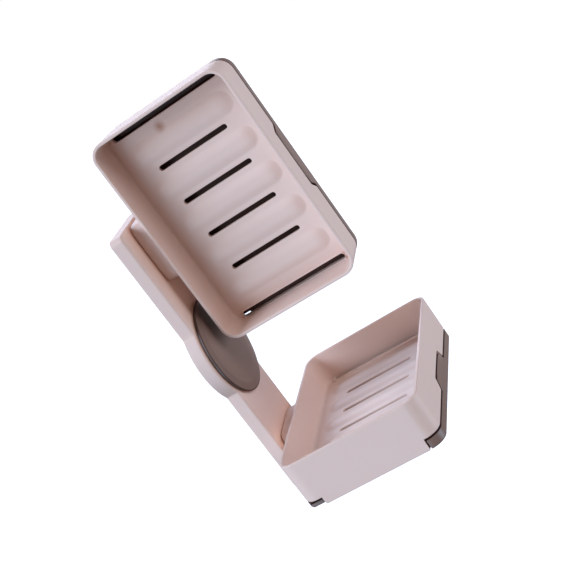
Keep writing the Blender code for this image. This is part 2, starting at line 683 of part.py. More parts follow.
def plate_screws(steel):
    """The countersunk screws that hold the back plates."""
    face = PLATE_SCREW_SINK
    head_foot = face + PLATE_SCREW_HEAD_HEIGHT
    tip = WEB_INNER - REST_GAP
    point_length = PLATE_SCREW_RADIUS - PLATE_SCREW_TIP_RADIUS
    profile = [
        (0.0, tip), (PLATE_SCREW_TIP_RADIUS, tip), (PLATE_SCREW_RADIUS, tip - point_length),
        (PLATE_SCREW_RADIUS, head_foot), (PLATE_SCREW_HEAD_RADIUS, face + PLATE_SCREW_HEAD_EDGE),
        (PLATE_SCREW_HEAD_RADIUS, face), (0.0, face),
    ]
    for number, place in enumerate(post_places(1) + post_places(-1), start=1):
        screw = turned(f"plate_screw_{number}", profile, steel, steps=PLATE_SCREW_STEPS)
        screw.location = (place[0], 0.0, place[1])
        cut_cross(screw, PLATE_RECESS_REACH, face, PLATE_RECESS_DEPTH, place)


def suction_lock(rubber, milky, dark):
    """The suction cup, its stud, the slip ring and the disc that draws the stud outwards."""
    cup_top = WEB_BACK - REST_GAP
    pocket_top = cup_top - CUP_SKIN
    head_far = pocket_top - REST_GAP
    head_near = head_far - STUD_HEAD_THICKNESS
    pocket_foot = head_near - STUD_TRAVEL - REST_GAP
    pocket_radius = STUD_HEAD_RADIUS + TURN_GAP
    stud_bore = STUD_RADIUS + TURN_GAP
    cup_radius = BOSS_RADIUS - BOSS_WALL - CUP_LIP
    cup_profile = [
        (0.0, pocket_foot), (pocket_radius, pocket_foot), (pocket_radius, pocket_top),
        (stud_bore, pocket_top), (stud_bore, cup_top), (CUP_CROWN_RADIUS, cup_top),
        (CUP_BODY_RADIUS, CUP_BODY), (cup_radius, CUP_LIP), (cup_radius, 0.0), (0.0, 0.0),
    ]
    turned("suction_cup", cup_profile, rubber)

    disc_under = RAIL_DEPTH + DISC_GAP
    rim_top = disc_under + DISC_RIM
    band_top = rim_top + DISC_BEVEL_RISE
    crown = band_top + DISC_CROWN
    shell_under = crown - DISC_SHELL
    stud_tip = shell_under - STUD_TIP_GAP
    stud_profile = [
        (0.0, stud_tip), (STUD_RADIUS - STUD_CHAMFER, stud_tip), (STUD_RADIUS, stud_tip - STUD_CHAMFER),
        (STUD_RADIUS, head_far), (STUD_HEAD_RADIUS, head_far), (STUD_HEAD_RADIUS, head_near),
        (0.0, head_near),
    ]
    turned("cup_stud", stud_profile, milky, steps=SMALL_ROUND_STEPS)

    washer_near = POCKET_FLOOR + REST_GAP
    washer_far = washer_near + THRUST_WASHER_THICKNESS
    ring = [
        (stud_bore, washer_far), (DISC_HUB_RADIUS, washer_far), (DISC_HUB_RADIUS, washer_near),
        (stud_bore, washer_near),
    ]
    turned("thrust_washer", ring, milky, closed=True)

    hub_end = washer_far + REST_GAP
    band_inner = DISC_RADIUS - DISC_BEVEL
    disc_profile = [
        (0.0, crown), (band_inner, band_top), (DISC_RADIUS, rim_top), (DISC_RADIUS, disc_under),
        (DISC_RADIUS - DISC_SHELL, disc_under), (band_inner - DISC_SHELL, shell_under),
        (DISC_HUB_RADIUS, shell_under), (DISC_HUB_RADIUS, hub_end), (stud_bore, hub_end),
        (stud_bore, shell_under), (0.0, shell_under),
    ]
    turned("lock_disc", disc_profile, dark)


pink_plastic = principled("pink_plastic", PINK, 0.45)
taupe_plastic = principled("taupe_plastic", TAUPE, 0.35)
milky_plastic = principled("milky_plastic", MILKY, 0.4)
screw_steel = principled("screw_steel", STEEL, 0.3, 1.0)
clear_rubber = principled("clear_rubber", CLEAR_RUBBER, 0.2)

rail_shell(pink_plastic)
back_plates(pink_plastic)
plate_screws(screw_steel)
suction_lock(clear_rubber, milky_plastic, taupe_plastic)
for label, height, turn in (("upper", PIVOT_HEIGHT, -90.0), ("lower", -PIVOT_HEIGHT, 0.0)):
    swivel_axis = bpy.data.objects.new(label + "_swivel_axis", None)
    parts.objects.link(swivel_axis)
    swivel_axis.location.z = height
    swivel_axis.rotation_euler.y = math.radians(turn)
    soap_case(label, swivel_axis, pink_plastic)
    drip_tray(label, swivel_axis, taupe_plastic)
    swivel(label, swivel_axis, milky_plastic, screw_steel)
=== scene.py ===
"""Looks of the double layer soap dish: moulded cases, drip trays, rail and lock disc.

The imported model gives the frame: the origin lies on the wall behind the middle of the rail, +Z
runs up the rail and -Y points out to the front. Each case is worked out level around its own
swivel axis and then placed. Lengths are in metres, angles in degrees.
"""
import json
import math
import bmesh
import bpy
import numpy as np
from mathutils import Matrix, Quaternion, Vector


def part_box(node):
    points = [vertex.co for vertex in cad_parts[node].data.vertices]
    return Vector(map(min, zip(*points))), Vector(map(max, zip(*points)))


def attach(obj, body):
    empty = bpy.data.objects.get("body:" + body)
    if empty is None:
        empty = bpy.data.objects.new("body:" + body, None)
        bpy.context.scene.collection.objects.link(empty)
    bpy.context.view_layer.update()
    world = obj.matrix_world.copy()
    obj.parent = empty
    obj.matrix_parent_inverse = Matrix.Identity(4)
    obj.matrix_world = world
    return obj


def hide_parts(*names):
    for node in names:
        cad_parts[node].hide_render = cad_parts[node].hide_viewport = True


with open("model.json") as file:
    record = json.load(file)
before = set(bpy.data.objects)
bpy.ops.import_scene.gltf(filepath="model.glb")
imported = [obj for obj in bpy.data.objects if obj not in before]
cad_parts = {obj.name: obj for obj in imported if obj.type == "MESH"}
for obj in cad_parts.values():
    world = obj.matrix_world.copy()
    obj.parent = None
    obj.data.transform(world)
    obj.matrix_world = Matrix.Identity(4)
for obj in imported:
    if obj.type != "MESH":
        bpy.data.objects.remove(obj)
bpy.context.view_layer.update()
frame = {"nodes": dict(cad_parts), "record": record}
MM = 0.001

# Rail and boss
RAIL_WIDTH = 47.2 * MM
RAIL_DEPTH = 8.3 * MM
RAIL_CORNER = 3.5 * MM
RAIL_LEAST_CORNER = 0.3 * MM
RAIL_EDGE = 1.5 * MM
RAIL_REAR_EDGE = 0.35 * MM
RAIL_WALL = 2.2 * MM
BOSS_RADIUS = 31 * MM
BOSS_FLOOR = 3.9 * MM
BOSS_FILLET = 1.5 * MM
BOSS_SOFTNESS = (0.8 * MM, 0.3 * MM, 0.3 * MM, 0.1 * MM)

# Soap case
CASE_DEPTH = 86 * MM
CASE_CORNER = 9 * MM
CASE_WALL = 1.9 * MM
CASE_TAPER = 0.035
OUTER_TAPER = 0.01
RIM_RISE = 12.6 * MM
RIM_EDGE = 0.55 * MM
RIM_FLAT = 0.12 * MM
CAVITY_DEPTH = 19.4 * MM
FLOOR_THICKNESS = 1.8 * MM
WALL_HEIGHT = 22.8 * MM
BACK_HEIGHT = 25.1 * MM
CASE_HEIGHT = 29.8 * MM
SKIRT_WALL = 1.65 * MM
SKIRT_BACK_SETBACK = 11.5 * MM
SKIRT_FRONT_SETBACK = 10.0 * MM
SKIRT_EDGE = 0.8 * MM
FOOT_EDGE = 0.42 * MM
COVE_RADIUS = 2.4 * MM
COVE_LEAST = 0.12 * MM
COVE_LIFT = 0.006 * MM
COVE_TUCK = 0.6 * MM
COVE_FADE = 0.1

# Floor of the case
FLOOR_TUCK = 0.3 * MM
FLOOR_CORNER = 6 * MM
SLOT_COUNT = 4
SLOT_PITCH = 22.4 * MM
SLOT_LENGTH = 45.2 * MM
SLOT_WIDTH = 3.0 * MM
SLOT_EDGE = 0.3 * MM
SLOT_BLEND = 4 * MM
END_SLOT_WIDTH = 4.2 * MM
END_SLOT_LENGTH = 69 * MM
END_SLOT_TUCK = 0.05 * MM
END_SLOT_LIP = 0.25 * MM
END_SLOT_BLEND = 2 * MM
BEAD_WIDTH = 0.75 * MM
BEAD_RISE = 1.1 * MM
RIB_WIDTH = 14 * MM
RIB_LENGTH = 67 * MM
RIB_HEIGHT = 1.5 * MM
RIB_SLOPE = 5.9 * MM
RIB_END_SLOPE = 7.6 * MM
RIB_SOFTNESS = 1.4

# Pull notch, tray and tab
NOTCH_WIDTH = 41 * MM
NOTCH_RISE = 6.2 * MM
NOTCH_SLANT = 3.5 * MM
NOTCH_BACKING = 1.8 * MM
NOTCH_SOFTNESS = 0.12
NOTCH_BEND = (16.2 * MM, 21.4 * MM)
NOTCH_MARGIN = 3 * MM
NOTCH_BACKING_EDGE = 0.4 * MM
TRAY_FLOOR = 1.6 * MM
TRAY_WALL = 1.6 * MM
TRAY_SIDE = 3 * MM
TRAY_CORNER = 7 * MM
TRAY_EDGE = 0.5 * MM
TRAY_TOP_EDGE = 0.4 * MM
TRAY_FOOT_EDGE = 1.2 * MM
SEAM = 1.1 * MM
BACK_SEAM = 0.75 * MM
TONGUE = 0.7 * MM
TONGUE_SHARES = (0.3, 0.36, 0.84, 0.84)
TONGUE_RISES = (0, 1, 1, 0)
TRAY_FILLET = 1.5 * MM
TRAY_SPINE = 25 * MM
PAN_DROP = 0.3 * MM
RUNNER_REACH = 1.5 * MM
RUNNER_HEIGHT = 1.2 * MM
RUNNER_FOOT = 2.8 * MM
RUNNER_SETBACK = 1.5 * MM
RUNNER_ROOT = 0.5 * MM
RUNNER_EDGE = 0.25 * MM
GAP = 0.3 * MM

# Neck block
NECK_LENGTH = 37.6 * MM
NECK_HEIGHT = 20.8 * MM
NECK_GAP = 0.5 * MM
NECK_EDGE = 0.7 * MM
NECK_POWER = 6.0
NECK_STEPS = 128
NECK_SPINE = 8 * MM

# Lock disc and suction cup
DISC_RADIUS = 30.2 * MM
DISC_BAND = 5 * MM
DISC_SHADOW_GAP = 1.8 * MM
DISC_LIP = 0.9 * MM
DISC_REAR = 8.6 * MM
DISC_RIM = 10.4 * MM
DISC_SHOULDER = 11.5 * MM
DISC_TOP = 11.9 * MM
DISC_CROWN = 0.4 * MM
DISC_CROWN_INSET = 2.5 * MM
DISC_SOFTNESS = (0.2 * MM, 0.1 * MM, 0.1 * MM, 0.3 * MM, 2.3 * MM)
CUP_RADIUS = 28 * MM
CUP_EDGE = 0.8 * MM
CUP_BODY_RADIUS = 13 * MM
CUP_BODY_RISE = 2.2 * MM
CUP_HEAD_RADIUS = 8.5 * MM
CUP_HOLLOW = 0.55 * MM
CUP_HOLLOW_POWER = 6
CUP_RING_DEPTH = 0.05 * MM
CUP_RING_PITCH = 3.5 * MM
CUP_SOFTNESS = (0.3 * MM, 1.5 * MM, 1.2 * MM)

# Camera, fitted to the photograph
CAMERA_PLACE = Vector((-0.605487, -0.279012, 0.182789))
CAMERA_AIM = Vector((0.019808, -0.051447, 0.003788))
CAMERA_ROLL = -36.248
CAMERA_LENS = 76.3

# Steps of the grids, and small distances
EDGE_STEPS = 4
COVE_STEPS = 6
CORNER_STEPS = 14
TURN_STEPS = 160
DISC_STEPS = 192
BOSS_STEPS = 20
WALL_SHARES = (0.03, 0.3, 0.7, 0.97)
SLOT_SHARES = (0, 0.01, 0.025, 0.05, 0.09, 0.16, 0.3, 0.55, 0.8)
SLOT_OFFSETS = (0.03, 0.08, 0.15, 0.25, 0.4, 0.6, 0.8, 0.95, 1.05, 1.095, 1.15, 1.4)
ROWS_BY_SLOTS = (26 * MM, 28.5 * MM)
ROWS_TO_END_SLOTS = 29.5 * MM
BORDER_ROW = 35 * MM
RAIL_SIDE_SHARES = (0.01, 0.04, 0.2, 0.5, 0.8, 0.97)
RAIL_END_SHARES = (0.03, 0.3, 0.65, 1.0)
PLATE_RINGS = (1.0, 0.6, 0.2)
MOST_SETBACK = 0.45
SHARP_ANGLE = 38
SLIVER = 0.01 * MM
WELD = 0.001 * MM
HAIR = 0.0001 * MM

# Sides of a rounded path, counter-clockwise from the right side; the odd ones are its corners
END_SIDES = (0, 4)
FRONT_SIDE = 6
FRONT_CORNERS = (5, 7)

# Heights around a case's swivel axis, and distances out of the wall
FLOOR_TOP = RIM_RISE - CAVITY_DEPTH
FLOOR_UNDER = FLOOR_TOP - FLOOR_THICKNESS
FLOOR_MIDDLE = FLOOR_TOP - FLOOR_THICKNESS / 2
WALL_FOOT = RIM_RISE - WALL_HEIGHT
BACK_FOOT = RIM_RISE - BACK_HEIGHT
SKIRT_FOOT = RIM_RISE - CASE_HEIGHT
lower_low, lower_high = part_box("lower_soap_case")
upper_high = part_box("upper_soap_case")[1]
rail_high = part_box("rail_shell")[1]
CASE_HALF = (lower_high.x - lower_low.x) / 2
CASE_FRONT = lower_low.y
CASE_BACK = CASE_FRONT + CASE_DEPTH
CASE_MIDDLE = (CASE_FRONT + CASE_BACK) / 2
LOWER_AXIS = lower_high.z - RIM_RISE
UPPER_AXIS = upper_high.z - CASE_HALF
RAIL_HALF_LENGTH = rail_high.z
FOOT_INSET = CASE_TAPER * CASE_HEIGHT
BAY_INSET = FOOT_INSET + SKIRT_WALL
SKIRT_BACK = CASE_BACK - SKIRT_BACK_SETBACK
SKIRT_FRONT = CASE_FRONT + SKIRT_FRONT_SETBACK
TRAY_HALF = CASE_HALF - BAY_INSET - GAP
TRAY_TOP = WALL_FOOT - SEAM
TRAY_BACK_TOP = BACK_FOOT - BACK_SEAM


# Grids of points


def bow(first, last, steps=EDGE_STEPS):
    """Cosines and sines along an arc between two angles, one row a step."""
    angle = np.radians(np.linspace(first, last, steps + 1))[:, None]
    return np.cos(angle), np.sin(angle)


def between(first, last, share):
    """First plus the share of the way to last."""
    return first + (last - first) * share


def ramp(share, softness):
    """A rise from 0 to 1 with rounded ends.

    It is half of |s| - |s - 1| + 1, with each |x| taken as sqrt(x*x + softness*softness).
    """
    return 0.5 * (np.hypot(share, softness) - np.hypot(share - 1, softness) + 1)


def edge_drop(distance, edge):
    """How far a rounded edge has dropped at a distance d from it.

    It is edge - sqrt(edge*edge - (edge - d)(edge - d)).
    """
    inside = edge - np.clip(distance, 0, edge)
    return edge - np.sqrt(edge ** 2 - inside ** 2)


def patch(points, wrap_rows=False, wrap_columns=False):
    """Points and quads of a grid: each quad joins a point, its neighbour and the two in the next row."""
    rows, columns = points.shape[:2]
    index = np.arange(rows * columns).reshape(rows, columns)
    if wrap_rows:
        index = np.vstack([index, index[:1]])
    if wrap_columns:
        index = np.hstack([index, index[:, :1]])
    quads = np.stack([index[:-1, :-1], index[:-1, 1:], index[1:, 1:], index[1:, :-1]], axis=-1)
    return points.reshape(-1, 3), quads.reshape(-1, 4)


def rounded_path(half, low, high, radius, across, along):
    """A rectangle with rounded corners in plan, its outward normals and the side each point is on.

    A straight side has points at shares from -1 to 1 of its half length. A corner is its centre
    plus the radius times the cosine and sine of the angle. Sides and corners are numbered from
    the right side, counter-clockwise: 0 right, 2 back, 4 left, 6 front.
    """
    middle, reach, edge = (low + high) / 2, (high - low) / 2 - radius, half - radius
    steps = np.radians(np.linspace(0, 90, CORNER_STEPS + 1))
    points, normals, sides = [], [], []
    straights = [
        (np.full(len(along), half), middle + reach * along),
        (edge * across[::-1], np.full(len(across), high)),
        (np.full(len(along), -half), middle + reach * along[::-1]),
        (edge * across, np.full(len(across), low)),
    ]
    back, front = middle + reach, middle - reach
    centres = [(edge, back), (-edge, back), (-edge, front), (edge, front)]
    for side, (straight, centre) in enumerate(zip(straights, centres)):
        facing = math.radians(90 * side)
        points.append(np.stack(straight, axis=1))
        normals.append(np.tile([math.cos(facing), math.sin(facing)], (len(straight[0]), 1)))
        turn = np.stack([np.cos(steps + facing), np.sin(steps + facing)], axis=1)
        points.append(np.array(centre) + radius * turn)
        normals.append(turn)
        sides += [2 * side] * len(straight[0]) + [2 * side + 1] * len(turn)
    return np.concatenate(points), np.concatenate(normals), np.array(sides)


def carry(path, normal, inset, height):
    """A profile carried along a plan path: each point lies inward of it by its inset, at its height."""
    inset, height = np.broadcast_arrays(inset, height)
    across = path[:, 0] - normal[:, 0] * inset
    along = path[:, 1] - normal[:, 1] * inset
    return np.stack([across, along, height], axis=-1)


def stack_rows(count, *bands):
    """Rows of a profile, each as wide as the path, one above another."""
    return np.concatenate([np.broadcast_to(band, (np.shape(band)[0], count)) for band in bands])


def row(values):
    """Values down a profile as a column that broadcasts along the path."""
    return np.asarray(values, float).reshape(-1, 1)


def closing(ring, spine, shares):
    """Rings that close in on a line: each is a share of the way from the ring to the line."""
    return np.stack([between(ring, spine, share) for share in shares])


def rounded_plate(path, normal, low, high, edge, spine):
    """A closed plate with rounded edges, capped onto a line.

    A profile of a flat, two quarter circles and a flat is carried along a plan path.
    """
    c, s = bow(-90, 0)
    flat = row([3 * edge, 1.6 * edge])
    inset = np.concatenate([flat, edge - edge * c, edge - edge * c[::-1], flat[::-1]])
    height = np.concatenate([
        row([low, low]), low + edge + edge * s, high - edge - edge * s[::-1], row([high, high]),
    ])
    body = carry(path, normal, inset * np.ones(len(path)), height * np.ones(len(path)))
    line = np.column_stack([spine, np.zeros(len(path))])
    under, over = line + [0, 0, low], line + [0, 0, high]
    return patch(np.concatenate([
        closing(body[0], under, PLATE_RINGS), body, closing(body[-1], over, PLATE_RINGS[::-1]),
    ]), wrap_columns=True)


def bar(low, high, edge):
    """A closed bar between two corners, with its edges rounded."""
    few = np.linspace(-1, 1, 3)
    half, middle = (high[0] - low[0]) / 2, (high[0] + low[0]) / 2
    path, normal, _ = rounded_path(half, low[1], high[1], edge, few, few)
    spine = np.column_stack([np.zeros(len(path)), np.full(len(path), (low[1] + high[1]) / 2)])
    points, quads = rounded_plate(path, normal, low[2], high[2], edge / 2, spine)
    return points + [middle, 0, 0], quads


def softened(corners, setback, steps=EDGE_STEPS):
    """A profile with rounded corners.

    Each corner C becomes the curve (1-t)(1-t)A + 2t(1-t)C + ttB, with A and B set back from it
    along its two sides. The ends stay as they are.
    """
    corners = np.asarray(corners, float)
    middle = corners[1:-1]
    to_last, to_next = corners[:-2] - middle, corners[2:] - middle
    last_length = np.linalg.norm(to_last, axis=1, keepdims=True)
    next_length = np.linalg.norm(to_next, axis=1, keepdims=True)
    setback = np.broadcast_to(np.reshape(setback, (-1, 1)), last_length.shape)
    start = middle + to_last / last_length * np.minimum(setback, MOST_SETBACK * last_length)
    end = middle + to_next / next_length * np.minimum(setback, MOST_SETBACK * next_length)
    t = np.linspace(0, 1, steps + 1)[None, :, None]
    curves = (1 - t) ** 2 * start[:, None] + 2 * t * (1 - t) * middle[:, None] + t ** 2 * end[:, None]
    return np.vstack([corners[:1], curves.reshape(-1, 2), corners[-1:]])


def turned(profile, segments=TURN_STEPS):
    """A turned surface: radius times the cosine and sine of the angle, at the profile's distance out."""
    angle = np.linspace(0, 2 * math.pi, segments, endpoint=False)
    radius, out = profile[:, :1], profile[:, 1:]
    points = np.stack([radius * np.cos(angle), -out + 0 * angle, radius * np.sin(angle)], axis=-1)
    return patch(points, wrap_columns=True)


def place_lower(points):
    """Lift a level case to the lower swivel axis."""
    return points + [0, 0, LOWER_AXIS]


def place_upper(points):
    """Turn a case a quarter turn, its length up and its opening to -X, at the upper swivel axis."""
    return np.stack([-points[:, 2], points[:, 1], points[:, 0] + UPPER_AXIS], axis=1)


def add_piece(name, patches, finish, body, nodes, place=None):
    """Join patches into one mesh, close its seams and poles, and let it ride and stand for its nodes."""
    starts = np.cumsum([0] + [len(points) for points, _ in patches])
    points = np.concatenate([points for points, _ in patches])
    quads = np.concatenate([quads + start for (_, quads), start in zip(patches, starts)])
    used, quads = np.unique(quads, return_inverse=True)
    points = points[used]
    if place:
        points = place(points)
    mesh = bpy.data.meshes.new(name)
    mesh.from_pydata(points.tolist(), [], quads.reshape(-1, 4).tolist())
    shape = bmesh.new()
    shape.from_mesh(mesh)
    bmesh.ops.remove_doubles(shape, verts=shape.verts, dist=WELD)
    bmesh.ops.recalc_face_normals(shape, faces=shape.faces)
    shape.to_mesh(mesh)
    shape.free()
    mesh.shade_smooth()
    mesh.set_sharp_from_angle(angle=math.radians(SHARP_ANGLE))
    mesh.materials.append(finish)
    piece = bpy.data.objects.new(name, mesh)
    bpy.context.scene.collection.objects.link(piece)
    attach(piece, body)
    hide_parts(*nodes)


# The soap case

# Shares along the straight sides: even steps, and closer ones by the corners, the notch's slanted
# ends and the rounded ends of the skirts
notch_bend = np.linspace(*NOTCH_BEND, 14) / (CASE_HALF - CASE_CORNER)
front_shares = np.unique(np.concatenate([
    np.linspace(-1, 1, 13), [-0.985, 0.985], -notch_bend, notch_bend,
]))
side_reach = CASE_DEPTH / 2 - CASE_CORNER
skirt_low, skirt_high = SKIRT_FRONT - CASE_MIDDLE, SKIRT_BACK - CASE_MIDDLE
foot_bow = SKIRT_EDGE * (1 - np.cos(np.radians(np.linspace(0, 90, 6))))
skirt_bend = np.append(foot_bow, -SLIVER)
side_shares = np.unique(np.concatenate([
    np.linspace(-1, 1, 9), (skirt_low + skirt_bend) / side_reach, (skirt_high - skirt_bend) / side_reach,
]))
case_path, case_normal, case_side = rounded_path(
    CASE_HALF, CASE_FRONT, CASE_BACK, CASE_CORNER, front_shares, side_shares)


def taper(height):
    """How far the outer faces of case and tray lie inside the rim at a height."""
    return OUTER_TAPER * (RIM_RISE - height)


def inner_taper(height):
    """How far the case's inner faces lean in at a height."""
    return CASE_TAPER * (RIM_RISE - height)


def notch_share(across, half):
    """0 outside the pull notch and 1 at its full height, with slanted ends."""
    return ramp((half - np.abs(across)) / NOTCH_SLANT, NOTCH_SOFTNESS)


def wall_foot():
    """Height of the wall's lower edge along the path.

    The skirts are lowest, then come the back wall and the front wall, and the notch is highest.
    """
    along = case_path[:, 1]
    inside = np.minimum(along - SKIRT_FRONT, SKIRT_BACK - along)
    skirt = SKIRT_FOOT + edge_drop(inside, SKIRT_EDGE)
    on_side = np.isin(case_side, END_SIDES) & (inside > -WELD)
    notch = WALL_FOOT + NOTCH_RISE * notch_share(case_path[:, 0], NOTCH_WIDTH / 2)
    other = np.where(along > CASE_MIDDLE, BACK_FOOT, WALL_FOOT)
    return np.where(on_side, skirt, np.where(case_side == FRONT_SIDE, notch, other))


def case_walls():
    """The case's walls, one closed profile carried round the case.

    The profile runs up the outer face, over the rounded rim, down the inner face and the cove, and
    under the floor down the inner face of the skirt. The cove fades out in the notch and on the short
    walls, by the smooth step aa(3 - 2a) of how far a wall faces the front or the back.
    """
    count = len(case_path)
    foot = wall_foot()
    facing = np.abs(case_normal[:, 1])
    within_notch = NOTCH_WIDTH / 2 + NOTCH_MARGIN - np.abs(case_path[:, 0])
    in_notch = np.where(case_side == FRONT_SIDE, ramp(within_notch / MM, COVE_FADE), 0)
    long_wall = facing * facing * (3 - 2 * facing) * (1 - np.clip(in_notch, 0, 1))
    cove = between(COVE_LEAST, COVE_RADIUS, long_wall)
    low_c, low_s = bow(-90, 0)
    rim_c, rim_s = bow(0, 90)
    far_c, far_s = bow(90, 180)
    cove_c, cove_s = bow(0, -90, COVE_STEPS)
    end_c, end_s = bow(180, 270)
    outer = between(foot + FOOT_EDGE, RIM_RISE - RIM_EDGE, row(WALL_SHARES))
    inner = between(RIM_RISE - RIM_EDGE, FLOOR_TOP + cove, row(WALL_SHARES))
    cove_end = CASE_WALL + inner_taper(FLOOR_TOP + cove) + cove
    tuck = (cove_end + long_wall * COVE_TUCK)[None]
    inset = stack_rows(
        count,
        taper(foot) + FOOT_EDGE - FOOT_EDGE * low_c,
        taper(outer),
        RIM_EDGE - RIM_EDGE * rim_c,
        row([RIM_EDGE + RIM_FLAT, CASE_WALL - RIM_EDGE - RIM_FLAT]),
        CASE_WALL - RIM_EDGE - RIM_EDGE * far_c,
        CASE_WALL + inner_taper(inner),
        cove_end - cove * cove_c,
        tuck, tuck, tuck,
        row([BAY_INSET, BAY_INSET]),
        BAY_INSET - FOOT_EDGE - FOOT_EDGE * end_c,
    )
    height = stack_rows(
        count,
        foot + FOOT_EDGE + FOOT_EDGE * low_s,
        outer,
        RIM_RISE - RIM_EDGE + RIM_EDGE * rim_s,
        row([RIM_RISE, RIM_RISE]),
        RIM_RISE - RIM_EDGE + RIM_EDGE * far_s,
        inner,
        FLOOR_TOP + COVE_LIFT + cove + cove * cove_s,
        row([FLOOR_TOP + COVE_LIFT, FLOOR_TOP - 0.1 * MM, FLOOR_MIDDLE]),
        row([FLOOR_MIDDLE]), between(FLOOR_MIDDLE, foot + FOOT_EDGE, row([0.9])),
        foot + FOOT_EDGE + FOOT_EDGE * end_s,
    )
    return patch(carry(case_path, case_normal, inset, np.maximum(height, foot)), True, True)


def rib_centres():
    """Places of the ribs along the case."""
    return (np.arange(SLOT_COUNT + 1) - SLOT_COUNT / 2) * SLOT_PITCH


def rib_height(across, along):
    """Height of the floor's ribs.

    It is full on a crest, then falls as (1 - t*t) to a power, t the share of the way down the slope.
    """
    total = np.zeros(np.broadcast(across, along).shape)
    crest_x = RIB_WIDTH / 2 - RIB_SLOPE
    crest_y = RIB_LENGTH / 2 - RIB_END_SLOPE
    for centre in rib_centres():
        beyond_x = np.maximum(np.abs(across - centre) - crest_x, 0)
        beyond_y = np.maximum(np.abs(along) - crest_y, 0)
        t = np.clip(np.hypot(beyond_x / RIB_SLOPE, beyond_y / RIB_END_SLOPE), 0, 1)
        total = total + RIB_HEIGHT * (1 - t * t) ** RIB_SOFTNESS
    return total


def floor_columns(holes, reach):
    """Places of the floor's columns: even steps, and closer ones over the ribs and beside the slots.

    Over a slot they lie at its middle plus its radius times the sine of even angles.
    """
    bend = np.sin(np.radians(np.linspace(-90, 90, 13)))
    off = np.array(SLOT_OFFSETS) * MM
    slope = np.linspace(-RIB_WIDTH / 2, RIB_WIDTH / 2, 23)
    columns = [np.linspace(-reach, reach, 25)]
    for x, r, _ in holes:
        columns += [x + r * bend, x + r + off, x - r - off]
    columns += [x + slope for x in rib_centres()]
    columns = np.unique(np.round(np.concatenate(columns), 6))
    columns = columns[np.abs(columns) <= reach + HAIR]
    for x, r, _ in holes:
        inside = np.abs(columns - x) < r + HAIR
        exact = np.min(np.abs(columns[:, None] - (x + r * bend)), axis=1) < WELD
        columns = columns[~inside | exact]
    return columns


def floor_plate():
    """The floor: height as a function of place, over a grid that bends round the slots' ends.

    Rows near a slot's end bulge by the square root of r*r - x*x, so that its end is a half circle.
    An end slot has a bead along it, a quarter ellipse: its rise times the root of 1 less the square
    of distance over width.
    """
    slot_r, end_r = SLOT_WIDTH / 2, END_SLOT_WIDTH / 2
    slots = (np.arange(SLOT_COUNT) - (SLOT_COUNT - 1) / 2) * SLOT_PITCH
    end_x = CASE_HALF - CASE_WALL - CASE_TAPER * CAVITY_DEPTH + END_SLOT_TUCK - end_r
    holes = [(x, slot_r, SLOT_LENGTH / 2) for x in slots]
    holes += [(x, end_r, END_SLOT_LENGTH / 2) for x in (-end_x, end_x)]
    rim_inset = CASE_WALL - FLOOR_TUCK
    reach_x, reach_y = CASE_HALF - rim_inset, CASE_DEPTH / 2 - rim_inset
    columns = floor_columns(holes, reach_x)

    first, second = SLOT_LENGTH / 2 - slot_r, END_SLOT_LENGTH / 2 - end_r
    share = np.array(SLOT_SHARES)
    within = np.linspace(0, first, 7)[:-1]
    outside = np.append(ROWS_BY_SLOTS, np.linspace(ROWS_TO_END_SLOTS, second - 0.5 * MM, 7))
    border = np.full(5, BORDER_ROW)
    base = np.concatenate([
        within, first + SLOT_BLEND * share, outside, second + END_SLOT_BLEND * share, border,
    ])
    slot_row = len(within)
    end_row = slot_row + len(share) + len(outside)
    bulge = np.zeros((2, len(base), 1))
    bulge[0, slot_row:slot_row + len(share), 0] = 1 - share
    bulge[1, end_row:end_row + len(share), 0] = 1 - share
    toward_edge = np.concatenate([np.zeros(len(base) - len(border)), np.linspace(0, 1, len(border))])
    lift = np.zeros((2, len(columns)))
    for x, r, _ in holes:
        lift[int(r != slot_r)] += np.sqrt(np.clip(r ** 2 - (columns - x) ** 2, 0, None))
    corner_x = np.clip(np.abs(columns) - (reach_x - FLOOR_CORNER), 0, FLOOR_CORNER)
    outline = reach_y - FLOOR_CORNER + np.sqrt(FLOOR_CORNER ** 2 - corner_x ** 2)
    half = base[:, None] + bulge[0] * lift[0] + bulge[1] * lift[1]
    half = half + toward_edge[:, None] * (outline - half)
    along = np.concatenate([-half[:0:-1], half])
    across = np.broadcast_to(columns, along.shape)

    top = FLOOR_TOP + rib_height(across, along)
    for x, r, reach in holes:
        gap = np.maximum(np.hypot(across - x, np.maximum(np.abs(along) - (reach - r), 0)) - r, 0)
        lip = SLOT_EDGE
        if r != slot_r:
            lip = END_SLOT_LIP
            top = top + BEAD_RISE * np.sqrt(1 - np.minimum(gap / BEAD_WIDTH, 1) ** 2)
        top = top - np.where(gap < lip, edge_drop(gap, lip), 0)
    upper = np.stack([across, along + CASE_MIDDLE, top], axis=-1)
    under = np.stack([across, along + CASE_MIDDLE, np.full(along.shape, FLOOR_UNDER)], axis=-1)

    rows_count, columns_count = along.shape
    keep = np.ones((rows_count - 1, columns_count - 1), bool)
    index = np.arange(rows_count * columns_count).reshape(rows_count, columns_count)
    middle = len(base) - 1
    loops = [(0, rows_count - 1, 0, columns_count - 1)]
    for x, r, _ in holes:
        span = slot_row if r == slot_r else end_row
        left = int(np.argmin(np.abs(columns - (x - r))))
        right = int(np.argmin(np.abs(columns - (x + r))))
        keep[middle - span:middle + span, left:right] = False
        loops.append((middle - span, middle + span, left, right))
    points, quads = patch(upper)
    quads = quads[keep.ravel()]
    total = rows_count * columns_count
    faces = [quads, quads[:, ::-1] + total]
    for low, high, left, right in loops:
        loop = np.concatenate([
            index[low, left:right], index[low:high, right],
            index[high, right:left:-1], index[high:low:-1, left],
        ])
        following = np.roll(loop, -1)
        faces.append(np.stack([loop, following, following + total, loop + total], axis=-1))
    return np.concatenate([points, under.reshape(-1, 3)]), np.concatenate(faces)


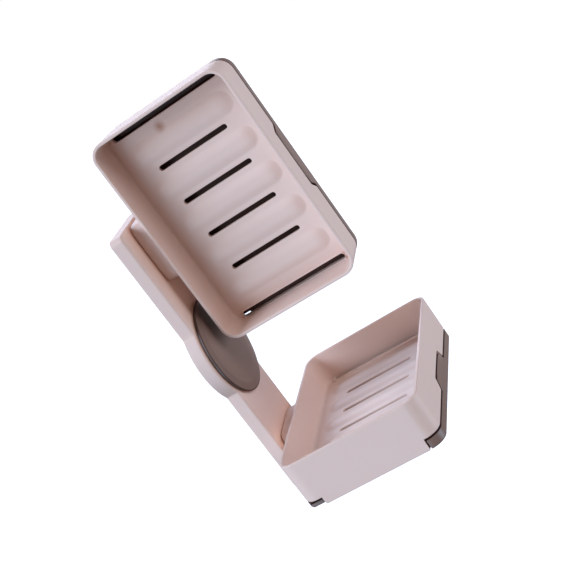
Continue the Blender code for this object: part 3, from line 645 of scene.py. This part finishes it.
def neck_block():
    """The neck: a superellipse carried out from the rail to the case, with a rounded edge by the rail.

    Its outline is the half sizes times the signed cosine and sine, each to the power of 2 over the
    squareness.
    """
    angle = np.linspace(0, 2 * math.pi, NECK_STEPS, endpoint=False)
    c, s = np.cos(angle), np.sin(angle)
    half_x, half_z = NECK_LENGTH / 2, NECK_HEIGHT / 2
    x = np.sign(c) * np.abs(c) ** (2 / NECK_POWER) * half_x
    z = np.sign(s) * np.abs(s) ** (2 / NECK_POWER) * half_z
    near, far = -RAIL_DEPTH - NECK_GAP, CASE_BACK - CASE_WALL / 2
    bow_c, bow_s = bow(0, 90)
    inset = np.concatenate([row([3, 1.5, 1.15]) * NECK_EDGE, NECK_EDGE * (1 - bow_s), row([0, 0])])
    along = np.concatenate([
        row([near] * 3), near - NECK_EDGE * (1 - bow_c), row([near - 2 * NECK_EDGE, far]),
    ])
    body = np.stack([x * (1 - inset / half_x), along + 0 * angle, z * (1 - inset / half_z)], axis=-1)
    line = np.column_stack([np.clip(x, -NECK_SPINE, NECK_SPINE), 0 * x, 0 * x])
    near_line, far_line = line + [0, near, 0], line + [0, far, 0]
    return patch(np.concatenate([
        closing(body[0], near_line, (1.0, 0.5)), body, closing(body[-1], far_line, (0.5, 1.0)),
    ]), wrap_columns=True)


def soap_case():
    """All patches of a level case: walls, floor, neck, two runners and the notch's backing."""
    patches = [case_walls(), floor_plate(), neck_block()]
    inside = CASE_HALF - BAY_INSET
    front, back = SKIRT_FRONT + RUNNER_SETBACK, SKIRT_BACK - RUNNER_SETBACK
    low = SKIRT_FOOT + RUNNER_FOOT
    high = low + RUNNER_HEIGHT
    for left, right in (
        (inside - RUNNER_REACH, inside + RUNNER_ROOT), (-inside - RUNNER_ROOT, -inside + RUNNER_REACH),
    ):
        patches.append(bar((left, front, low), (right, back, high), RUNNER_EDGE))
    wall_inside = CASE_FRONT + CASE_WALL + CASE_TAPER * CAVITY_DEPTH
    backing = NOTCH_WIDTH / 2 + NOTCH_BACKING
    patches.append(bar(
        (-backing, wall_inside - 0.1 * MM, FLOOR_UNDER + SLIVER),
        (backing, wall_inside + NOTCH_BACKING, WALL_FOOT + NOTCH_RISE + NOTCH_BACKING),
        NOTCH_BACKING_EDGE))
    return patches


# The drip tray


def drip_tray():
    """The tray, one closed profile carried round its plan outline.

    The profile runs from the foot up the grooved side, over the top edge, and down the inner face and
    a fillet to the pan's floor. The front wall rises as the pull tab, with a low tongue along its top
    that closes the seam from inside. Behind the front the sides are drawn in to slide between the
    skirts.
    """
    outer, normal, side = rounded_path(
        CASE_HALF, CASE_FRONT, CASE_BACK, CASE_CORNER, front_shares, side_shares)
    head = (side == FRONT_SIDE) | np.isin(side, FRONT_CORNERS)
    pan_low, pan_high = CASE_FRONT + FOOT_INSET + TRAY_WALL, CASE_BACK - FOOT_INSET - TRAY_WALL
    shares = front_shares * (CASE_HALF - CASE_CORNER) / (TRAY_HALF - TRAY_SIDE - TRAY_CORNER)
    pan, pan_normal, _ = rounded_path(
        TRAY_HALF - TRAY_SIDE, pan_low, pan_high, TRAY_CORNER, np.clip(shares, -1, 1), side_shares)
    rise = np.where(side == FRONT_SIDE, notch_share(outer[:, 0], NOTCH_WIDTH / 2 - SEAM), 0)
    shoulder_top = np.where(outer[:, 1] > SKIRT_BACK - SLIVER, TRAY_BACK_TOP, TRAY_TOP)
    top = shoulder_top + NOTCH_RISE * rise
    flat = 0 * top

    def outside(inset, height, limit):
        """Rows of the outer face, drawn in to a limit behind the front."""
        points = carry(outer, normal, inset, height)
        kept = np.where(head, CASE_HALF, limit)
        points[..., 0] = np.clip(points[..., 0], -kept, kept)
        return points

    groove_foot = SKIRT_FOOT + RUNNER_FOOT - GAP
    groove_top = SKIRT_FOOT + RUNNER_FOOT + RUNNER_HEIGHT + GAP
    low_c, low_s = bow(-90, 0)
    high_c, high_s = bow(0, 90)
    fillet_c, fillet_s = bow(0, -90, COVE_STEPS)
    foot, edge = TRAY_FOOT_EDGE, TRAY_TOP_EDGE
    low_rows = outside(
        taper(SKIRT_FOOT) + foot - foot * low_c + flat,
        SKIRT_FOOT + foot + foot * low_s + flat,
        TRAY_HALF - TRAY_EDGE + TRAY_EDGE * low_c)
    side_z = row([
        SKIRT_FOOT + 1.1 * foot, groove_foot, groove_foot, groove_top, groove_top, TRAY_TOP - 1.5 * edge,
    ])
    side_z = np.minimum(side_z, top - edge)
    side_limit = TRAY_HALF - row([0, 0, RUNNER_REACH, RUNNER_REACH, 0, 0])
    side_rows = outside(taper(side_z), side_z, side_limit)
    tab_z = between(shoulder_top - edge, top - edge, row([0, 0.5]))
    tab_rows = outside(taper(tab_z), tab_z, TRAY_HALF)
    top_rows = outside(
        taper(top) + edge - edge * high_c, top - edge + edge * high_s, TRAY_HALF - edge + edge * high_c)
    pan_ring = carry(pan, pan_normal, flat, shoulder_top)
    tongue = between(top_rows[-1], pan_ring, row(TONGUE_SHARES)[:, None])
    tongue[:, :, 2] = top + np.where(head, TONGUE, 0) * row(TONGUE_RISES)
    shoulder_low = tongue[-1].copy()
    shoulder_low[:, 2] = shoulder_top
    floor = SKIRT_FOOT + TRAY_FLOOR
    wall_z = np.stack([shoulder_top - PAN_DROP, floor + TRAY_FILLET + flat])
    wall_rows = carry(pan, pan_normal, row([0, 0]) + flat, wall_z)
    fillet = carry(
        pan, pan_normal,
        TRAY_FILLET - TRAY_FILLET * fillet_c + flat, floor + TRAY_FILLET + TRAY_FILLET * fillet_s + flat)
    spine = np.column_stack([
        np.clip(pan[:, 0], -TRAY_SPINE, TRAY_SPINE), CASE_MIDDLE + flat, floor + flat])
    base = spine * [1, 1, 0] + [0, 0, SKIRT_FOOT]
    sole_half = CASE_HALF - 2 * CASE_CORNER
    sole = base.copy()
    sole[:, 0] = np.clip(outer[:, 0], -sole_half, sole_half)
    sole[:, 1] = np.clip(outer[:, 1], CASE_FRONT + CASE_CORNER, CASE_BACK - CASE_CORNER)
    return [patch(np.concatenate([
        closing(sole, base, (1.0, 0.5)), closing(low_rows[0], sole, (1.0, 0.5, 0.1, 0.02)),
        low_rows, side_rows, tab_rows, top_rows,
        tongue, shoulder_low[None], between(shoulder_low, pan_ring, 0.9)[None], wall_rows, fillet,
        closing(fillet[-1], spine, (0.03, 0.2, 0.6, 1.0)),
    ]), wrap_columns=True)]


# The rail


def rail_rings(inset):
    """Outlines of the rail and its boss, one for each inset.

    Each has boss arcs, fillets that touch the arc and the side, straight sides and quarter-circle
    corners. A quarter of it is worked out and then mirrored.
    """
    inset = row(inset)
    side, end = RAIL_WIDTH / 2 - inset, RAIL_HALF_LENGTH - inset
    radius, corner = BOSS_RADIUS - inset, np.maximum(RAIL_CORNER - inset, RAIL_LEAST_CORNER)
    reach = RAIL_WIDTH / 2 + BOSS_FILLET
    rise = math.sqrt((BOSS_RADIUS + BOSS_FILLET) ** 2 - reach ** 2)
    turn = math.atan2(rise, reach)
    boss = turn * np.linspace(0, 1, BOSS_STEPS + 1)
    fillet = np.linspace(turn + math.pi, math.pi, 7)[1:-1]
    bend = BOSS_FILLET + inset
    quarter = np.radians(np.linspace(0, 90, CORNER_STEPS + 1))
    side_z = between(rise, end - corner, np.array(RAIL_SIDE_SHARES))
    end_x = between(side - corner, 0 * side, np.array(RAIL_END_SHARES))
    x = np.hstack([
        radius * np.cos(boss), reach + bend * np.cos(fillet), side + 0 * side_z,
        side - corner + corner * np.cos(quarter), end_x,
    ])
    z = np.hstack([
        radius * np.sin(boss), rise + bend * np.sin(fillet), side_z,
        end - corner + corner * np.sin(quarter), end + 0 * end_x,
    ])
    across = np.hstack([x, -x[:, -2::-1], -x[:, 1:], x[:, -2:0:-1]])
    up = np.hstack([z, z[:, -2::-1], -z[:, 1:], -z[:, -2:0:-1]])
    return across, up


def rail_skin():
    """The rail's shell, one profile carried round its outline.

    The profile runs from the front face over the rounded edge, down the side, round the rear edge and
    up the inner wall to the ceiling.
    """
    c, s = bow(0, 90, 5)
    rear_c, rear_s = bow(0, 90, 3)
    rear = RAIL_REAR_EDGE
    inset = np.concatenate([
        [2.2 * RAIL_EDGE, 1.2 * RAIL_EDGE], (RAIL_EDGE * (1 - c[::-1])).ravel(), [0, 0],
        (rear * (1 - rear_c)).ravel(), [RAIL_WALL - rear], [RAIL_WALL, RAIL_WALL, RAIL_WALL + 2 * MM],
    ])
    out = np.concatenate([
        [RAIL_DEPTH, RAIL_DEPTH], (RAIL_DEPTH - RAIL_EDGE * (1 - s[::-1])).ravel(),
        [RAIL_DEPTH - 1.4 * RAIL_EDGE, 2 * rear],
        (rear * (1 - rear_s)).ravel(), [0], [rear, RAIL_DEPTH - RAIL_WALL, RAIL_DEPTH - RAIL_WALL],
    ])
    across, up = rail_rings(inset)
    body = np.stack([across, -row(out) + 0 * across, up], axis=-1)
    reach = RAIL_HALF_LENGTH - RAIL_WIDTH / 2
    spine = np.stack([0 * up[0], 0 * up[0] - RAIL_DEPTH, np.clip(up[0], -reach, reach)], axis=-1)
    ceiling = spine + [0, RAIL_WALL, 0]
    return patch(np.concatenate([
        closing(body[0], spine, (1.0, 0.6, 0.15)), body, closing(body[-1], ceiling, (0.5, 1.0)),
    ]), wrap_columns=True)


def boss_core():
    """The boss seen from behind: a ring wall and the floor in it, as one turned closed profile.

    It keeps a few hundredths of a millimetre inside the rail's skin.
    """
    inner, outer = BOSS_RADIUS - RAIL_WALL - 0.05 * MM, BOSS_RADIUS - 0.03 * MM
    deep, sunk = RAIL_DEPTH - RAIL_EDGE - 0.4 * MM, 0.02 * MM
    corners = [
        (0, BOSS_FLOOR), (inner, BOSS_FLOOR), (inner, sunk), (outer, sunk), (outer, deep), (0, deep),
    ]
    return turned(softened(corners, BOSS_SOFTNESS))


# Lock disc and suction cup


def lock_disc():
    """The disc, turned: a barely crowned face, a sloping band, and a thin rim undercut at its rear."""
    band, lip = DISC_RADIUS - DISC_BAND, DISC_RADIUS - DISC_LIP
    under = RAIL_DEPTH + DISC_SHADOW_GAP
    corners = [
        (0, DISC_REAR), (lip, DISC_REAR), (lip, under - 0.1 * MM), (DISC_RADIUS, under),
        (DISC_RADIUS, DISC_RIM), (band, DISC_SHOULDER), (0, DISC_TOP),
    ]
    edge = softened(corners, DISC_SOFTNESS, 8)[:-1]
    radius = np.linspace(band - DISC_CROWN_INSET, 0, 16)
    crown = DISC_TOP - DISC_CROWN * (radius / band) ** 2
    return turned(np.vstack([edge, np.column_stack([radius, crown])]), DISC_STEPS)


def suction_cup():
    """The cup: a soft disc with a hollow rear face and faint rings, turned.

    The hollow is its depth times 1 less a power of the radius's share, and the rings are a cosine.
    """
    radius = np.linspace(0, CUP_RADIUS, 57)
    hollow = CUP_HOLLOW * (1 - (radius / CUP_RADIUS) ** CUP_HOLLOW_POWER)
    rings = CUP_RING_DEPTH * (1 - np.cos(radius * 2 * math.pi / CUP_RING_PITCH))
    rear = np.column_stack([radius, (hollow + rings) * (radius < CUP_RADIUS)])
    head = BOSS_FLOOR - GAP
    front = softened([
        (CUP_RADIUS, 0), (CUP_RADIUS, CUP_EDGE), (CUP_BODY_RADIUS, CUP_BODY_RISE),
        (CUP_HEAD_RADIUS, head), (0, head),
    ], CUP_SOFTNESS)
    return turned(np.vstack([rear, front[1:]]))


# Materials

PINK_LIGHT = (0.80, 0.597, 0.512)
PINK_DARK = (0.77, 0.572, 0.490)
# Painted warm bounce light mixed into shaded hollows, and the distance within which they count as shaded
PINK_PAINTED_BOUNCE = (1.0, 0.64, 0.48, 1.0)
PINK_PAINTED_BOUNCE_REACH = 22 * MM
TAUPE_LIGHT = (0.245, 0.155, 0.122)
TAUPE_DARK = (0.221, 0.140, 0.110)
# Painted shade: a near-black brown mixed in where little open space is in front, and the distance that
# counts
TAUPE_PAINTED_SHADE = (0.038, 0.009, 0.005, 1.0)
TAUPE_PAINTED_SHADE_REACH = 9 * MM
SHADE_SAMPLES = 8
# A painted reddish reflection lies on the upper case's floor near an end slot, out from the case's back
RED_REFLECTION_ALONG = 52.8 * MM
RED_REFLECTION_OUT = 34.9 * MM
RED_REFLECTION_RADIUS = 4.6 * MM
PAINTED_RED_REFLECTION = (0.45, 0.20, 0.12, 1.0)


class Wire:
    """An output socket that takes plain arithmetic."""

    def __init__(self, finish, socket):
        self.finish = finish
        self.socket = socket

    def maths(self, operation, first, second):
        """Join two wires or numbers with a Math node."""
        return self.finish.node("Math", {"operation": operation}, {0: first, 1: second})

    def __add__(self, other):
        return self.maths("ADD", self, other)

    def __radd__(self, other):
        return self.maths("ADD", other, self)

    def __sub__(self, other):
        return self.maths("SUBTRACT", self, other)

    def __rsub__(self, other):
        return self.maths("SUBTRACT", other, self)

    def __mul__(self, other):
        return self.maths("MULTIPLY", self, other)

    def __rmul__(self, other):
        return self.maths("MULTIPLY", other, self)

    def __pow__(self, other):
        return self.maths("POWER", self, other)


class Finish:
    """A material under construction, with its Principled shader and the Object coordinates."""

    def __init__(self, name, **uniform):
        self.material = bpy.data.materials.new(name)
        self.material.use_nodes = True
        self.tree = self.material.node_tree
        self.shader = self.tree.nodes["Principled BSDF"]
        for socket, value in uniform.items():
            self.shader.inputs[socket.replace("_", " ")].default_value = value
        self.place = self.node("TexCoord", output="Object")

    def node(self, kind, settings=None, sockets=None, output=0):
        """Add a node with its settings and with a value or a link in its sockets; give one output."""
        made = self.tree.nodes.new("ShaderNode" + kind)
        for name, value in (settings or {}).items():
            setattr(made, name, value)
        for name, value in (sockets or {}).items():
            if isinstance(value, Wire):
                self.tree.links.new(value.socket, made.inputs[name])
            else:
                made.inputs[name].default_value = value
        return Wire(self, made.outputs[output])

    def noise(self, scale, detail=2.0, roughness=0.5, place=None):
        """Noise between 0 and 1 at so many features a metre."""
        return self.node("TexNoise", None, {
            "Vector": place or self.place, "Scale": scale, "Detail": detail, "Roughness": roughness})

    def mix(self, share, first, second):
        """A share of the second colour over the first."""
        return self.node("Mix", {"data_type": "RGBA"}, {0: share, 6: first, 7: second}, output=2)

    def smooth(self, value, low, high):
        """0 where a value is low and 1 where it is high, with a smooth step between."""
        return self.node("MapRange", {"interpolation_type": "SMOOTHSTEP"}, {
            "Value": value, "From Min": low, "From Max": high, "To Min": 0.0, "To Max": 1.0})

    def spot(self, centre, radius):
        """1 at a place and 0 beyond the radius around it, falling off smoothly."""
        gap = self.node("VectorMath", {"operation": "DISTANCE"}, {0: self.place, 1: centre}, output=1)
        return self.smooth(gap, radius, 0.0)

    def beyond(self, radius, blend):
        """0 within a radius around the Y axis and 1 past it, rising smoothly over the blend."""
        flat = self.node("VectorMath", {"operation": "MULTIPLY"}, {0: self.place, 1: (1.0, 0.0, 1.0)})
        reach = self.node("VectorMath", {"operation": "LENGTH"}, {0: flat}, output=1)
        return self.smooth(reach, radius, radius + blend)

    def open_share(self, distance):
        """How much of the space in front of the surface is open within a distance, from 0 to 1."""
        settings = {"samples": SHADE_SAMPLES}
        return self.node("AmbientOcclusion", settings, {"Distance": distance}, output=1)

    def feed(self, socket, wire):
        """Link a varying value to the shader."""
        self.tree.links.new(wire.socket, self.shader.inputs[socket])

    def bump(self, height, distance):
        """Raise the surface by a height pattern times the distance."""
        sockets = {"Height": height, "Distance": distance, "Strength": 1.0}
        self.feed("Normal", self.node("Bump", None, sockets))


def moulded(name, light, dark, rough, grain, **uniform):
    """Satin moulded plastic: drifts of colour, fine spark-eroded grain, handling marks in the gloss.

    Returns the finish with its colour and its roughness.
    """
    finish = Finish(name, **uniform)
    drift = finish.noise(scale=18.0, detail=3.0)
    fine = finish.noise(scale=2600.0, detail=2.0, roughness=0.6)
    wipe = finish.noise(scale=55.0, detail=4.0, roughness=0.6)
    colour = finish.mix(drift, (*dark, 1.0), (*light, 1.0))
    speck = finish.mix(0.05 * fine, colour, (*(0.8 * value for value in dark), 1.0))
    gloss = rough + 0.09 * wipe + 0.03 * fine
    finish.feed("Base Color", speck)
    finish.feed("Roughness", gloss)
    finish.bump(fine + 0.35 * finish.noise(scale=700.0, detail=2.0), grain)
    return finish, speck, gloss


def pink_plastic(name, reflection_place=None, painted_bounce_glow=False):
    """Pale beige-pink plastic, with a painted reddish reflection on the floor where a place for it is
    given.

    With the glow asked for, warm bounce light is painted in: the colour turns warmer where little open
    space is in front of it.
    """
    finish, colour, _ = moulded(
        name, PINK_LIGHT, PINK_DARK, rough=0.42, grain=0.012 * MM,
        Subsurface_Weight=0.08, Subsurface_Radius=(1.0, 0.42, 0.30), Subsurface_Scale=1.0 * MM,
        Specular_IOR_Level=0.4)
    # Painted warm bounce light: where nearby parts shade the surface, its colour is mixed towards a warm
    # orange.
    if painted_bounce_glow:
        shade = (1.0 - finish.open_share(PINK_PAINTED_BOUNCE_REACH)) ** 1.1
        colour = finish.mix(shade, colour, PINK_PAINTED_BOUNCE)
    # Painted reddish reflection: a soft spot on the floor mixed towards a red-brown.
    if reflection_place:
        reflection_mask = finish.spot(reflection_place, RED_REFLECTION_RADIUS) * (0.55 + 0.5 * finish.noise(scale=420.0, detail=3.0))
        colour = finish.mix(reflection_mask, colour, PAINTED_RED_REFLECTION)
    finish.feed("Base Color", colour)
    return finish.material


def taupe_plastic(name, depth, disc=False):
    """Grey-brown satin plastic, with painted shade: darker by a power where little open space is in
    front of it.

    On the disc, shade is painted at the rim: the bevel is a little browner than the face and its edge
    dark; the edge is also dull.
    """
    finish, colour, gloss = moulded(
        name, TAUPE_LIGHT, TAUPE_DARK, rough=0.32, grain=0.010 * MM, Specular_IOR_Level=0.4)
    if disc:
        # Painted shade at the disc's rim, where the gap to the boss lies in shadow, and a slighter
        # painted shade over the bevel.
        bevel = finish.beyond(DISC_RADIUS - DISC_BAND, 0.5 * MM)
        edge = finish.beyond(DISC_RADIUS - DISC_LIP, 0.7 * MM)
        colour = finish.mix(0.2 * bevel + 0.65 * edge, colour, TAUPE_PAINTED_SHADE)
        finish.feed("Roughness", gloss + 0.55 * edge)
    # Painted shade: mixed towards a near-black brown where little open space is in front of the surface,
    # in the pan, the slots and the disc's gap.
    open_share = finish.open_share(TAUPE_PAINTED_SHADE_REACH) ** depth
    finish.feed("Base Color", finish.mix(open_share, TAUPE_PAINTED_SHADE, colour))
    return finish.material


def milky_plastic():
    """Natural acetal of the hubs and slip washers."""
    finish, _, _ = moulded(
        "milky_plastic", (0.76, 0.77, 0.77), (0.72, 0.73, 0.72), rough=0.34, grain=0.006 * MM,
        Subsurface_Weight=0.4, Subsurface_Radius=(1.0, 0.9, 0.8), Subsurface_Scale=1.5 * MM)
    return finish.material


def screw_steel():
    """Zinc-plated steel: fine turning marks and a faint yellow-blue passivation."""
    finish = Finish("screw_steel", Metallic=1.0)
    tint = finish.noise(scale=900.0, detail=3.0)
    colour = finish.mix(tint, (0.66, 0.68, 0.72, 1.0), (0.76, 0.74, 0.66, 1.0))
    stretched = finish.node("Mapping", None, {"Vector": finish.place, "Scale": (1.0, 12.0, 1.0)})
    marks = finish.noise(scale=3500.0, detail=3.0, roughness=0.6, place=stretched)
    finish.feed("Base Color", colour)
    finish.feed("Roughness", 0.36 + 0.2 * marks)
    finish.bump(marks, 0.01 * MM)
    return finish.material


def clear_rubber():
    """Soft clear vinyl: faintly cloudy, with fine drag marks."""
    finish = Finish("clear_rubber", Transmission_Weight=0.75, IOR=1.5)
    cloud = finish.noise(scale=60.0, detail=3.0)
    finish.feed("Base Color", finish.mix(cloud, (0.80, 0.82, 0.84, 1.0), (0.66, 0.69, 0.72, 1.0)))
    finish.feed("Roughness", 0.24 + 0.16 * finish.noise(scale=240.0, detail=3.0))
    finish.bump(finish.noise(scale=900.0, detail=2.0), 0.01 * MM)
    return finish.material


# The pieces put together

# Place of the painted reddish reflection on the upper case's floor
red_reflection_place = np.array([[RED_REFLECTION_ALONG, CASE_BACK - RED_REFLECTION_OUT, FLOOR_TOP]])
pink = pink_plastic("pink_plastic")
upper_pink = pink_plastic("pink_plastic_upper_case", tuple(place_upper(red_reflection_place)[0]))
# The rail has painted warm bounce light in its shaded hollows.
rail_pink = pink_plastic("pink_plastic_rail", painted_bounce_glow=True)
# The depth argument is the power of the painted shade: milder on the disc, strong in the trays.
taupe = taupe_plastic("taupe_plastic", depth=1.4, disc=True)
tray_taupe = taupe_plastic("taupe_plastic_trays", depth=4.0)
milky = milky_plastic()
steel = screw_steel()
rubber = clear_rubber()

case_patches, tray_patches = soap_case(), drip_tray()
add_piece(
    "upper_case_shell", case_patches, upper_pink, "upper_case", ["upper_soap_case"],
    place_upper)
add_piece(
    "lower_case_shell", case_patches, pink, "lower_case", ["lower_soap_case"],
    place_lower)
add_piece(
    "upper_tray_drawer", tray_patches, tray_taupe, "upper_tray", ["upper_drip_tray"],
    place_upper)
add_piece(
    "lower_tray_drawer", tray_patches, tray_taupe, "lower_tray", ["lower_drip_tray"],
    place_lower)
add_piece("rail_moulding", [rail_skin(), boss_core()], rail_pink, "rail", ["rail_shell"])
add_piece("turning_disc", [lock_disc()], taupe, "lock", ["lock_disc"])
add_piece("wall_cup", [suction_cup()], rubber, "rail", ["suction_cup"])

finishes = {
    "pink_plastic": pink,
    "taupe_plastic": taupe,
    "milky_plastic": milky,
    "screw_steel": steel,
    "clear_rubber": rubber,
}
for part in frame["record"]["subparts"]:
    node = frame["nodes"][part["node"]]
    for material_slot in node.material_slots:
        material_slot.material = finishes[part["material_slot"]]


# Floor, light and camera

SWEEP_REACH = 9.0
SWEEP_DROP = 0.6
SWEEP_LIGHT = (0.915, 0.915, 0.915, 1.0)
SWEEP_DARK = (0.90, 0.90, 0.90, 1.0)
AMBIENT_COLOUR = (1.0, 0.71, 0.64, 1.0)
AMBIENT_STRENGTH = 0.11
WHITE = (1.0, 1.0, 1.0, 1.0)
LIGHT_SPREAD = 32
# Name, direction from the dish, and strength in red, green and blue
SOFT_LIGHTS = (
    ("key_behind_left", (-0.49, 0.7, 0.52), (1.71, 2.18, 2.84)),
    ("left", (-0.79, 0.55, 0.25), (0.58, 0.62, 0.70)),
    ("low_left", (-0.79, 0.41, -0.45), (0.53, 0.79, 1.06)),
    ("camera_side", (-0.75, -0.6, 0.28), (0.19, 0.16, 0.15)),
    ("front_above", (-0.11, -0.87, 0.48), (0.88, 0.90, 0.96)),
    ("front_right", (0.21, -0.95, 0.22), (0.32, 0.39, 0.57)),
    ("front_low", (0.12, -0.92, -0.34), (0.80, 1.13, 1.44)),
    ("right_above", (0.66, 0.24, 0.72), (0.73, 0.97, 1.34)),
    ("right", (0.99, -0.08, -0.15), (0.19, 0.17, 0.17)),
    ("rim_behind_right", (0.88, 0.36, 0.30), (0.42, 0.41, 0.46)),
)


def stage_floor():
    """A wide pale floor well below the dish, bright as an overexposed sweep; it throws no light back."""
    signs = ((-1, -1), (1, -1), (1, 1), (-1, 1))
    corners = [(SWEEP_REACH * x, SWEEP_REACH * y, -SWEEP_DROP) for x, y in signs]
    mesh = bpy.data.meshes.new("studio_floor")
    mesh.from_pydata(corners, [], [(0, 1, 2, 3)])
    floor = bpy.data.objects.new("studio_floor", mesh)
    bpy.context.scene.collection.objects.link(floor)
    floor.visible_diffuse = floor.visible_glossy = floor.visible_shadow = False
    paint = Finish(
        "floor_paint", Roughness=0.9, Specular_IOR_Level=0.1,
        Emission_Color=WHITE, Emission_Strength=0.45)
    paint.feed("Base Color", paint.mix(paint.noise(scale=9.0), SWEEP_DARK, SWEEP_LIGHT))
    mesh.materials.append(paint.material)


def soft_light(name, toward, strength):
    """A wide soft light from far off, aimed from a direction towards the dish."""
    light = bpy.data.lights.new(name, "SUN")
    light.energy = max(strength)
    light.color = [share / light.energy for share in strength]
    light.angle = math.radians(LIGHT_SPREAD)
    lamp = bpy.data.objects.new(name, light)
    bpy.context.scene.collection.objects.link(lamp)
    lamp.rotation_mode = "QUATERNION"
    lamp.rotation_quaternion = Vector(toward).to_track_quat("Z", "Y")


def studio_light():
    """A dim even surround, shown white, and broad soft lights: the key from behind on the left."""
    world = bpy.data.worlds.new("studio")
    world.use_nodes = True
    tree = world.node_tree
    ambient = tree.nodes["Background"]
    ambient.inputs["Color"].default_value = AMBIENT_COLOUR
    ambient.inputs["Strength"].default_value = AMBIENT_STRENGTH
    shown = tree.nodes.new("ShaderNodeBackground")
    shown.inputs["Color"].default_value = WHITE
    ray = tree.nodes.new("ShaderNodeLightPath")
    choose = tree.nodes.new("ShaderNodeMixShader")
    tree.links.new(ray.outputs["Is Camera Ray"], choose.inputs[0])
    tree.links.new(ambient.outputs[0], choose.inputs[1])
    tree.links.new(shown.outputs[0], choose.inputs[2])
    tree.links.new(choose.outputs[0], tree.nodes["World Output"].inputs[0])
    bpy.context.scene.world = world
    for name, toward, strength in SOFT_LIGHTS:
        soft_light(name, toward, strength)


def camera():
    """The camera of the photograph: its place, its aim and its roll."""
    view = bpy.data.cameras.new("camera")
    view.lens = CAMERA_LENS
    view.clip_start, view.clip_end = 0.05, 50.0
    holder = bpy.data.objects.new("camera", view)
    bpy.context.scene.collection.objects.link(holder)
    holder.location = CAMERA_PLACE
    holder.rotation_mode = "QUATERNION"
    aim = (CAMERA_AIM - CAMERA_PLACE).to_track_quat("-Z", "Y")
    holder.rotation_quaternion = aim @ Quaternion((0, 0, 1), math.radians(CAMERA_ROLL))
    bpy.context.scene.camera = holder


stage_floor()
studio_light()
camera()
bpy.context.scene.view_settings.view_transform = "Standard"
